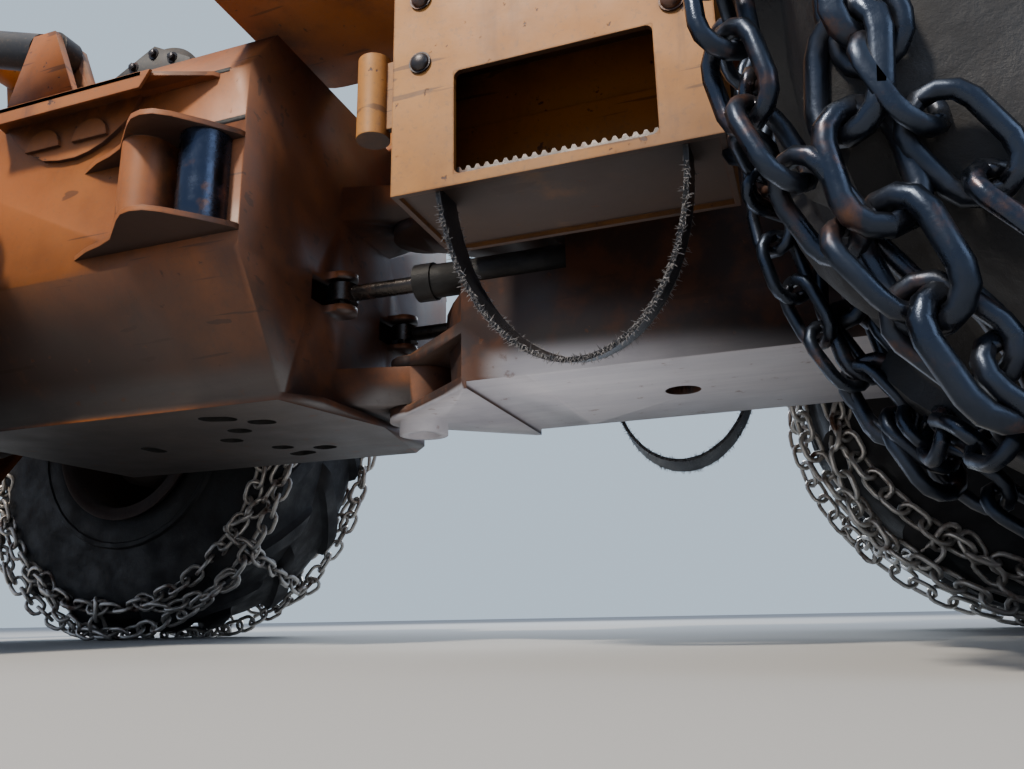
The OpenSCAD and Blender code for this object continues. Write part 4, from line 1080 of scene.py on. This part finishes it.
def make_belts():
    dice = random.Random(31)
    points, faces, threads = [], [], []
    steps = 150
    for side in (-1, 1):
        start = len(points)
        for k, (spot, across, out) in enumerate(belt_frames(side, steps)):
            near = -0.0005 - 0.0045 * dice.random() ** 2
            far = 0.0005 + 0.0045 * dice.random() ** 2
            wave = 0.0012 * math.sin(k * 0.37)
            edge = ((-near, 0.0), (BELT_WIDTH * 0.25, wave), (BELT_WIDTH * 0.75, -wave),
                    (BELT_WIDTH - far, 0.0))
            for y, lift in edge:
                points.append(spot + across * y + out * (lift - 0.0005))
            for y, lift in reversed(edge):
                points.append(spot + across * y + out * (lift + 0.0005 - BELT_THICK))
            if 4 < k < steps - 4:
                for y, way in ((0.0, -1), (BELT_WIDTH, 1)):
                    for _ in range(5):
                        thick = dice.random() * BELT_THICK
                        base = spot + across * (y - way * 0.002) - out * thick
                        lie = across * way + out * dice.uniform(-0.9, 0.9)
                        lie += Vector((dice.uniform(-0.8, 0.8), 0, dice.uniform(-1.0, 0.3)))
                        threads.append((base, lie.normalized()))
        for k in range(steps):
            row = start + 8 * k
            for i in range(8):
                j = (i + 1) % 8
                faces.append((row + i, row + j, row + 8 + j, row + 8 + i))
        faces.append(tuple(start + i for i in range(8)))
        faces.append(tuple(start + 8 * steps + i for i in range(8)))
    belts = place("hanging_belts", make_mesh("hanging_belts", points, faces, "belt_rubber"),
                  "front", "belt_rubber")
    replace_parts(belts, "step_loops")
    fray = grow("belt_fray", spots_mesh("belt_fray", threads), TREES["hair"],
                {"Radius": 0.0011, "Length": 0.013, "Wobble": 0.5, "Seed": 4}, "front",
                "belt_rubber")
    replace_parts(fray, "step_loops")


def toothed_strip(points, faces, low, length, thick, height, pitch, side):
    """An upright strip with a saw-toothed top edge."""
    count = round(length / pitch)
    start = len(points)
    outline = [(0, 0)]
    for i in range(count):
        x = i * length / count
        tooth = length / count
        outline += [(x + 0.10 * tooth, height * 0.62), (x + 0.30 * tooth, height),
                    (x + 0.55 * tooth, height), (x + 0.80 * tooth, height * 0.62)]
    outline.append((length, 0))
    for y in (0, -side * thick):
        points += [low + Vector((x, y, z)) for x, z in outline]
    n = len(outline)
    faces.append(tuple(range(start, start + n)))
    faces.append(tuple(range(start + 2 * n - 1, start + n - 1, -1)))
    for i in range(n):
        j = (i + 1) % n
        faces.append((start + i, start + j, start + n + j, start + n + i))


def make_treads():
    points, faces = [], []
    for side in (-1, 1):
        for low_edge in STEP_WINDOWS:
            for depth in (0.015, 0.060, 0.105, 0.150, 0.195):
                low = at(0.426, side * (STEP_SIDE - depth), low_edge + 0.0005)
                toothed_strip(points, faces, low, 0.401, 0.004, 0.021, 0.0188, side)
    mesh = make_mesh("toothed_treads", points, faces, "tread_steel", smooth=False)
    place("toothed_treads", mesh, "front", "bare_steel")


def make_bolts():
    plate = [at(x, STEP_SIDE, z) for x, z in ((0.357, 1.139), (0.357, 1.289), (0.861, 1.141),
                                              (0.861, 1.289), (0.357, 1.52), (0.861, 1.52))]
    bolts("step_bolts", both(plate, (0, 1, 0)), 0.0235, "front", "stud")


HAND_HOLES = 8
HAND_HOLE_AT = 0.245
HAND_HOLE_RADIUS = 0.027
RIM_BOLTS = 12
HUB_BOLTS = 10
# Radius and height over the middle of the tyre, from the foot of a hub cap to its top
HUB_CAP = ((0.075, 0.179), (0.075, 0.200), (0.066, 0.207), (0.040, 0.211), (0.0, 0.212))
HUB_STEPS = 24


def make_wheels():
    """Hand holes through the wheel discs, bolts on rims and hubs, and hub caps."""
    for name, body in WHEELS.items():
        side = 1 if name.endswith("left") else -1
        centre = wheel_centre(name)
        finish = "yellow_paint" if name.startswith("front") else "axle_paint"
        holes = Shape()
        for i in range(HAND_HOLES):
            middle = round_axle(centre, HAND_HOLE_AT, 0, math.tau * (i + 0.5) / HAND_HOLES)
            outline = circle((middle.x - PIVOT.x, middle.z), HAND_HOLE_RADIUS)
            holes.plate("y", outline, middle.y + side * 0.030, middle.y + side * 0.080)
        carve(f"wheel_{name}", holes, body, finish)
        out = Vector((0, side, 0))
        ring = [(round_axle(centre, 0.197, side * 0.070, math.tau * i / RIM_BOLTS), out)
                for i in range(RIM_BOLTS)]
        ring += [(round_axle(centre, 0.130, side * 0.180, math.tau * (i + 0.5) / HUB_BOLTS), out)
                 for i in range(HUB_BOLTS)]
        bolts(f"wheel_nuts_{name}", ring, 0.014, body)
        cap = Shape()
        for band in zip(HUB_CAP, HUB_CAP[1:]):
            start = len(cap.points)
            for radius, height in band:
                cap.points += [round_axle(centre, radius, side * height, math.tau * i / HUB_STEPS)
                               for i in range(HUB_STEPS)]
            cap.faces += [(start + i, start + (i + 1) % HUB_STEPS,
                           start + HUB_STEPS + (i + 1) % HUB_STEPS, start + HUB_STEPS + i)
                          for i in range(HUB_STEPS)]
        cap_mesh = cap.mesh(f"hub_cap_{name}", finish)
        merge_corners(cap_mesh, recalculate=True)
        place(f"hub_cap_{name}", cap_mesh, body, "yellow_paint")


# Frames: side brackets, treads, cleaning holes and the walls at the joint

# Middle along and across the machine, half the length and the turn in degrees
BELLY_HOLES = ((-0.483, -0.274, 0.052, 20), (-0.397, -0.197, 0.040, 10),
               (-0.521, -0.128, 0.036, 0), (-0.627, -0.024, 0.036, 0), (-0.550, 0.128, 0.036, 0),
               (-0.547, 0.237, 0.052, -20), (-0.431, 0.182, 0.040, -10), (-0.938, 0, 0.045, 90))
BRACKET = ((-0.700, 0.600), (-0.629, 0.632), (-0.575, 0.646), (-0.521, 0.667), (-0.475, 0.705),
           (-0.430, 0.742), (-0.400, 0.762), (-0.370, 0.768), (-0.338, 0.762), (-0.307, 0.739),
           (-0.255, 0.680), (-0.204, 0.615), (-0.201, 0.600), (-0.201, 0.575), (-0.700, 0.575))


def turned(outline, middle, degrees):
    c, s = math.cos(math.radians(degrees)), math.sin(math.radians(degrees))
    return [(middle[0] + c * a - s * b, middle[1] + s * a + c * b) for a, b in outline]


def make_rear_frame():
    cut = Shape()
    for x, y, half, turn in BELLY_HOLES:
        oval = soft_box((-half, -0.028), (half, 0.028), 0.0279, 6)
        cut.plate("z", turned(oval, (x, y), turn), 0.580, 0.6105)
    outside = [(-1.05, 0.6002), (-0.190, 0.6002), (-0.190, 0.70), (-1.05, 0.70)]
    for low, high in ((0.955, 0.980), (1.245, 1.270), (1.394, 1.416)):
        cut.both("z", outside, low, high)
    carve("rear_frame", cut, "rear", "frame_paint", cut_finish="oil_black")
    brackets = Shape()
    for z in (0.955, 1.200):
        brackets.both("z", BRACKET, z, z + 0.014)
    skin = [(-0.390, 0.590)] + arc((-0.452, 0.642), 0.062, 0, 180, 12) + [(-0.514, 0.590)]
    inside = arc((-0.452, 0.642), 0.052, 180, 0, 12)
    skin += [(-0.504, 0.590)] + inside + [(-0.400, 0.590)]
    brackets.both("z", skin, 0.9685, 1.2005)
    fit("side_brackets", brackets, "frame_paint", "rear", "yellow_paint", "rear_frame")
    treads = Shape()
    shelf = [(-1.010, 0.599), (-0.985, 0.680), (-0.470, 0.680), (-0.300, 0.614), (-0.290, 0.599)]
    treads.both("z", shelf, 1.388, 1.400)
    treads.both("y", [(-0.985, 1.399), (-0.985, 1.354), (-0.470, 1.354), (-0.440, 1.399)],
                0.672, 0.680)
    apron = [(-0.990, 1.389), (-0.960, 1.352), (-0.930, 1.320), (-0.885, 1.288), (-0.840, 1.262),
             (-0.785, 1.252), (-0.730, 1.250), (-0.685, 1.258), (-0.640, 1.275), (-0.600, 1.301),
             (-0.560, 1.330), (-0.530, 1.389)]
    treads.both("y", apron, 0.599, 0.612)
    for x in (-0.840, -0.680):
        treads.both("y", arc((x, 1.292), 0.058, 0, 180, 14), 0.6115, 0.622)
    fit("side_treads", treads, "frame_paint", "rear", "yellow_paint", "rear_frame")
    rollers = Shape()
    for side in (-1, 1):
        rollers.plate("z", [(x, side * y) for x, y in circle((-0.295, 0.622), 0.062)], 0.970,
                      1.199)
    fit("side_rollers_worn", rollers, "roller_steel", "rear", "bare_steel", "side_rollers")


def make_front_frame():
    cut = Shape()
    cut.plate("z", [(0.252, -0.32), (0.42, -0.32), (0.42, 0.32), (0.252, 0.32)], 0.585, 0.611)
    carve("front_frame", cut, "front", "greased_and_shaded_paint")
    walls = Shape()
    for side in (-1, 1):
        start, end = Vector((0.250, side * 0.290, 0)), Vector((0.100, side * 0.096, 0))
        way = end - start
        thick = Vector((0.024, -side * 0.024, 0))
        course = [(0.0, 0.624), (0.58, 0.624), (0.66, 0.700), (0.72, 0.760), (0.86, 0.800),
                  (0.80, 0.850), (0.55, 0.862), (0.0, 0.862)]
        outline = [at(*(start + way * share)[:2], z) for share, z in course]
        walls.sweep(outline, thick)
    fit("joint_walls", walls, "greased_and_shaded_paint", "front", "yellow_paint", "front_frame")
    stops = Shape()
    stops.both("z", circle((0.235, 0.749), 0.035), 1.010, 1.195)
    stops.both("z", [(0.235, 0.741), (0.297, 0.741), (0.297, 0.757), (0.235, 0.757)], 1.025, 1.180)
    fit("steering_stops", stops, "step_paint", "front", "yellow_paint")


def make_step_corners():
    """Fillets in the corners of the step windows, and the plates behind them."""
    corners, back = Shape(), Shape()
    radius = 0.014
    for low in STEP_WINDOWS:
        for x, way_x in ((0.430, 1), (0.823, -1)):
            for z, way_z in ((low, 1), (low + 0.225, -1)):
                bow = [(x + way_x * (radius - radius * math.cos(math.radians(t))),
                        z + way_z * (radius - radius * math.sin(math.radians(t))))
                       for t in (0, 22.5, 45, 67.5, 90)]
                corners.both("y", [(x - way_x * 0.001, z - way_z * 0.001)] + bow, 0.7719, 0.7839)
    fit("step_window_corners", corners, "step_paint", "front", "yellow_paint", smooth=False)
    for low in STEP_WINDOWS:
        back.both("y", [(0.316, low + 0.075), (0.915, low + 0.075), (0.915, low + 0.275),
                        (0.316, low + 0.275)], 0.506, 0.512)
    fit("step_linings", back, "yellow_paint", "front", "yellow_paint")


# Cab, hood, winch and lamps

PAD_VOXEL = 0.006
PAD_CROWN = 0.016
PAD_BEVEL = 0.022
CHANNEL_HALF = 0.012
CHANNEL_DEPTH = 0.006
CLOTH_FRAMES = 20
# How far the cloth may swell
CLOTH_REACH = 0.014


def cushion(name, low, high):
    """A crowned pad between two corners: remeshed, blown up as cloth, then smoothed."""
    mesh = bpy.data.meshes.new(name)
    bm = bmesh.new()
    bmesh.ops.create_cube(bm, size=1.0)
    middle, size = (low + high) / 2, high - low
    for vertex in bm.verts:
        vertex.co = middle + Vector(c * (d - PAD_CROWN) for c, d in zip(vertex.co, size))
    bmesh.ops.bevel(bm, geom=bm.edges[:], offset=PAD_BEVEL, segments=3, affect="EDGES")
    bm.to_mesh(mesh)
    bm.free()
    pad = new_object(name, mesh)
    remesh = pad.modifiers.new("remesh", "REMESH")
    remesh.mode = "VOXEL"
    remesh.voxel_size = PAD_VOXEL
    fine = evaluated_mesh(pad)
    bpy.data.objects.remove(pad)
    fine = blown_up(name, fine)
    fine.materials.clear()
    fine.materials.append(MATERIALS["seat_vinyl"])
    half = size / 2
    for vertex in fine.vertices:
        share = [abs(c) / h for c, h in zip(vertex.co - middle, half)]
        across = sorted(share)[:2]
        swell = (1 - across[0] ** 2) * (1 - across[1] ** 2)
        rise = vertex.co - middle
        vertex.co = middle + rise * (1 + 0.05 * swell)
        for axis in range(3):
            vertex.co[axis] = max(low[axis], min(high[axis], vertex.co[axis]))
    channels = [middle.y + size.y * share for share in (-0.22, 0.22)]
    for vertex in fine.vertices:
        for channel in channels:
            near = max(0.0, 1 - abs(vertex.co.y - channel) / CHANNEL_HALF)
            vertex.co += (middle - vertex.co).normalized() * CHANNEL_DEPTH * near * near
    shade_smooth(fine, SOFT_EDGE)
    made = place(name, fine, "front", "seat_cover")
    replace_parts(made, "seat")


def blown_up(name, fine):
    """The mesh after a short cloth simulation with air pressure inside it."""
    pad = new_object(f"{name}_cloth", fine)
    start = [vertex.co.copy() for vertex in fine.vertices]
    cloth = pad.modifiers.new("cloth", "CLOTH")
    cloth.settings.use_pressure = True
    cloth.settings.uniform_pressure_force = 4.0
    cloth.settings.effector_weights.gravity = 0.0
    for number in range(1, CLOTH_FRAMES + 1):
        bpy.context.scene.frame_set(number)
    blown = evaluated_mesh(pad)
    bpy.data.objects.remove(pad)
    bpy.context.scene.frame_set(1)
    for vertex, before in zip(blown.vertices, start):
        shift = vertex.co - before
        if shift.length > CLOTH_REACH:
            vertex.co = before + shift * (CLOTH_REACH / shift.length)
    return blown


def make_seat():
    cushion("seat_cushion", Vector((0.825, -0.250, 2.0085)), Vector((1.315, 0.250, 2.120)))
    cushion("seat_backrest", Vector((0.725, -0.240, 2.062)), Vector((0.822, 0.240, 2.700)))


HOOD_SLOTS = 9


def make_hood():
    """Upright slots in the hood's sides, with catches and a row of bolts."""
    slots = Shape()
    for i in range(HOOD_SLOTS):
        x = 1.740 + 0.070 * i
        slots.both("y", soft_box((x, 1.410), (x + 0.032, 1.760), 0.0139), 0.400, 0.440)
    carve("hood", slots, "front", "yellow_paint")
    catches = Shape()
    for x in (1.640, 2.360):
        catches.both("y", soft_box((x - 0.020, 1.300), (x + 0.020, 1.380), 0.008), 0.4295, 0.438)
    fit("hood_catches", catches, "bolt_steel", "front", "cast_iron")
    rim = both([at(1.575 + 0.095 * i, 0.430, 1.285) for i in range(10)], (0, 1, 0))
    bolts("hood_bolts", rim, 0.009, "front")


# Radius, turns, start across the machine and way of each layer of rope
ROPE_LAYERS = ((0.0995, 17, -0.170, 1), (0.1180, 12, 0.165, -1))
ROPE_PITCH = 0.0200
ROPE_STEPS = 20
FLANGE_BOLTS = 8


def make_winch():
    """Wire rope wound on the drum in two layers, and bolts on the drum's ends."""
    middle = at(-0.870, 0, 1.745)
    line = []
    for radius, turns, start, way in ROPE_LAYERS:
        for i in range(turns * ROPE_STEPS + 1):
            angle = math.tau * i / ROPE_STEPS
            line.append(Vector((middle.x + radius * math.sin(angle),
                                start + way * ROPE_PITCH * i / ROPE_STEPS,
                                middle.z + radius * math.cos(angle))))
    rope = grow("winch_winding", path_curve("winch_winding", [(line, False)]), TREES["rope"],
                {"Radius": 0.0095, "Sides": 7}, "rear", "bare_steel")
    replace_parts(rope, "winch")
    drum = copy_of("winch")
    drum.materials.append(MATERIALS["black_paint"])
    shade_smooth(drum)
    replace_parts(place("winch_body", drum, "rear", "black_paint"), "winch")
    spots = [(round_axle(middle, 0.110, side * 0.240, math.tau * i / FLANGE_BOLTS),
              Vector((0, side, 0))) for i in range(FLANGE_BOLTS) for side in (-1, 1)]
    bolts("winch_bolts", spots, 0.013, "rear")


LAMP_STEPS = 28


def round_lamp(housing, lens, back, ahead, radius, deep):
    """A bowl with a rim, and its lens."""
    count = LAMP_STEPS
    side = Vector((0, 1, 0))
    upward = ahead.cross(side)

    def ring(r, d):
        return [back + ahead * d + (side * math.cos(a) + upward * math.sin(a)) * r
                for a in (math.tau * i / count for i in range(count))]

    def skin(shape, rings):
        start = len(shape.points)
        for r, d in rings:
            shape.points += ring(r, d)
        for k in range(len(rings) - 1):
            row = start + count * k
            shape.faces += [(row + i, row + (i + 1) % count, row + count + (i + 1) % count,
                             row + count + i) for i in range(count)]
        last = start + count * (len(rings) - 1)
        shape.faces.append(tuple(range(start + count - 1, start - 1, -1)))
        shape.faces.append(tuple(range(last, last + count)))

    skin(housing, ((radius * 0.45, 0), (radius * 0.85, deep * 0.35), (radius, deep * 0.75),
                   (radius, deep), (radius * 0.88, deep), (radius * 0.86, deep * 0.80)))
    skin(lens, ((radius * 0.85, deep * 0.82), (radius * 0.85, deep * 0.90),
                (radius * 0.5, deep * 0.97), (radius * 0.1, deep * 0.99)))


def make_lamps():
    """Four work lamps on the roof and two in the grille."""
    housing, lens = Shape(), Shape()
    for x, way in ((0.440, -1), (1.520, 1)):
        for y in (-0.420, 0.420):
            foot = at(x + 0.035, y, 3.0305)
            housing.plate("z", soft_box((x + 0.010, y - 0.025), (x + 0.060, y + 0.025), 0.010),
                          3.0305, 3.050)
            back = foot + Vector((-0.032 * way, 0, 0.047))
            round_lamp(housing, lens, back, Vector((way, 0, 0)), 0.0425, 0.064)
    for y in (-0.250, 0.250):
        round_lamp(housing, lens, at(2.4906, y, 1.850), Vector((1, 0, 0)), 0.028, 0.0535)
    fit("lamp_bowls", housing, "black_paint", "front", "black_paint", "lamps")
    fit("lamp_lenses", lens, "lamp_glass", "front", "window_glass", "lamps")


def make_cab_trim():
    """Grab rails, the rear window's guard, handles, hinges, window seals and wiper."""
    rails = [[at(0.430, side * 0.672, 1.78), at(0.430, side * 0.722, 1.80),
              at(0.430, side * 0.722, 2.50), at(0.430, side * 0.672, 2.52)] for side in (-1, 1)]
    tubes("grab_rails", "rail", rails, 0.013, "front", "yellow_paint", steps=5)
    guard = [[at(0.372, -0.50 + 0.10 * i, 2.08), at(0.372, -0.50 + 0.10 * i, 2.81)]
             for i in range(11)]
    guard += [[at(0.372, -0.52, 2.10 + 0.115 * i), at(0.372, 0.52, 2.10 + 0.115 * i)]
              for i in range(7)]
    tubes("rear_window_guard", "pipe", guard, 0.006, "front", "black_paint", steps=1)
    for side, door in ((-1, "door_right"), (1, "door_left")):
        handle = [[at(1.135, side * 0.671, 1.96), at(1.135, side * 0.700, 1.96),
                   at(1.040, side * 0.702, 1.97), at(1.000, side * 0.690, 1.975)]]
        tubes(f"{door}_handle", "pipe", handle, 0.008, door, "black_paint")
        hinges = [[at(0.479, side * 0.6825, z), at(0.479, side * 0.6825, z + 0.09)]
                  for z in (1.84, 2.60)]
        tubes(f"{door}_hinges", "pipe", hinges, 0.0115, "front", "black_paint", sides=14)
        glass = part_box(f"door_glass_{'left' if side > 0 else 'right'}")
        seal_round(f"{door}_seal", glass, side * 0.6765, door)
    wiper = [[at(1.546, -0.05, 2.045), at(1.552, 0.02, 2.30), at(1.549, 0.06, 2.52)],
             [at(1.546, 0.05, 2.33), at(1.546, 0.085, 2.70)]]
    tubes("wiper", "pipe", wiper, 0.005, "front", "black_paint")


def seal_round(name, window, y, body):
    """A rubber strip round a window's box."""
    low, high = window
    outline = soft_box((low.x - PIVOT.x, low.z), (high.x - PIVOT.x, high.z), 0.03, 5)
    line = [at(x, y, z) for x, z in outline]
    grow(name, path_curve(name, [(line, True)]), TREES["hose"], {"Radius": 0.009, "Sides": 8},
         body, "tyre_rubber")


def make_pins():
    """Studs on the ends of the arch pins, and bolts along the blade's cutting edge."""
    bolts("arch_pin_bolts", both([(-1.825, 0.3805, 1.350)], (0, 1, 0)), 0.022, "rear", "stud")
    edge = []
    for i in range(13):
        hit, spot, normal, _ = NODES["blade"].ray_cast(Vector((3.4, -1.02 + 0.17 * i, 0.335)),
                                                       Vector((-1, 0, 0)))
        if hit:
            edge.append((spot - normal * 0.010, normal))
    bolts("cutting_edge_bolts", edge, 0.015, "blade", "stud")


HOSE_WIDTH = 0.025


def make_joint_hose():
    """A hydraulic hose that hangs in a bow beside the joint, under the deck."""
    route = [at(0.280, -0.640, 1.585), at(0.279, -0.642, 1.45), at(0.278, -0.640, 1.30),
             at(0.276, -0.628, 1.15), at(0.276, -0.600, 1.02), at(0.288, -0.560, 0.935),
             at(0.32, -0.50, 0.915), at(0.36, -0.44, 0.925), at(0.37, -0.38, 0.965),
             at(0.372, -0.33, 1.02), at(0.372, -0.297, 1.06)]
    line = rounded_path(route, 3)
    hose = grow("joint_hose", path_curve("joint_hose", [(line, False)]), TREES["hose"],
                {"Radius": HOSE_WIDTH / 2, "Sides": 10}, "front", "tyre_rubber")


# Floor and light

def make_floor():
    """A wide plain floor, pale to the camera and duller in the light that it throws back."""
    mesh = bpy.data.meshes.new("floor")
    size = 60.0
    mesh.from_pydata([(-size, -size, 0), (size, -size, 0), (size, size, 0), (-size, size, 0)],
                     [], [(0, 1, 2, 3)])
    floor = new_object("floor", mesh)
    board, shader = new_material("floor_paper")
    pale = board.blend(board.noise(0.6), (0.40, 0.39, 0.37, 1), (0.45, 0.44, 0.42, 1))
    bounce = board.add("ShaderNodeLightPath").outputs["Is Diffuse Ray"]
    board.feed(shader.inputs["Base Color"], board.blend(bounce, pale, (0.17, 0.155, 0.14, 1)))
    shader.inputs["Roughness"].default_value = 0.9
    mesh.materials.append(MATERIALS["floor_paper"])


def light_disc(name, place_at, aim_at, size, power, colour):
    """A round area light that the camera doesn't see."""
    data = bpy.data.lights.new(name, "AREA")
    data.shape = "DISK"
    data.size = size
    data.energy = power
    data.color = colour
    lamp = new_object(name, data)
    lamp.location = place_at
    lamp.rotation_euler = (Vector(aim_at) - Vector(place_at)).to_track_quat("-Z", "Y").to_euler()
    lamp.visible_camera = False


def make_light():
    """A blue sky, brighter to the camera than to the machine, and four lights."""
    world = bpy.data.worlds.new("studio")
    world.use_nodes = True
    tree = world.node_tree
    board = Board(tree)
    soft = tree.nodes["Background"]
    soft.inputs["Color"].default_value = (0.62, 0.76, 1.0, 1)
    soft.inputs["Strength"].default_value = 0.80
    wall = board.add("ShaderNodeBackground", {"Color": (0.60, 0.74, 0.88, 1), "Strength": 0.95})
    seen = board.add("ShaderNodeLightPath").outputs["Is Camera Ray"]
    mixed = board.add("ShaderNodeMixShader", {0: seen, 1: soft.outputs[0], 2: wall.outputs[0]})
    board.feed(tree.nodes["World Output"].inputs["Surface"], mixed.outputs[0])
    bpy.context.scene.world = world
    light_disc("key", (-1.6, -6.4, 8.6), (-0.3, 0, 1.2), 1.2, 1400, (1.0, 0.90, 0.76))
    light_disc("side", (7.0, -4.0, 4.0), (0, 0, 1.2), 4.0, 110, (0.75, 0.86, 1.0))
    light_disc("below", (0.50, -0.28, 0.03), (0.50, -0.28, 1.0), 0.6, 2.4, (0.92, 0.93, 1.0))
    light_disc("back", (-2.0, 8.0, 6.0), (0, 0, 1.2), 4.0, 700, (0.85, 0.93, 1.0))


make_camera()
build_materials()
finish_nodes()
build_trees()
make_tyres()
make_chains()
make_belts()
make_treads()
make_rear_frame()
make_front_frame()
make_step_corners()
make_bolts()
make_wheels()
make_seat()
make_hood()
make_winch()
make_lamps()
make_cab_trim()
make_pins()
make_joint_hose()
make_floor()
make_light()
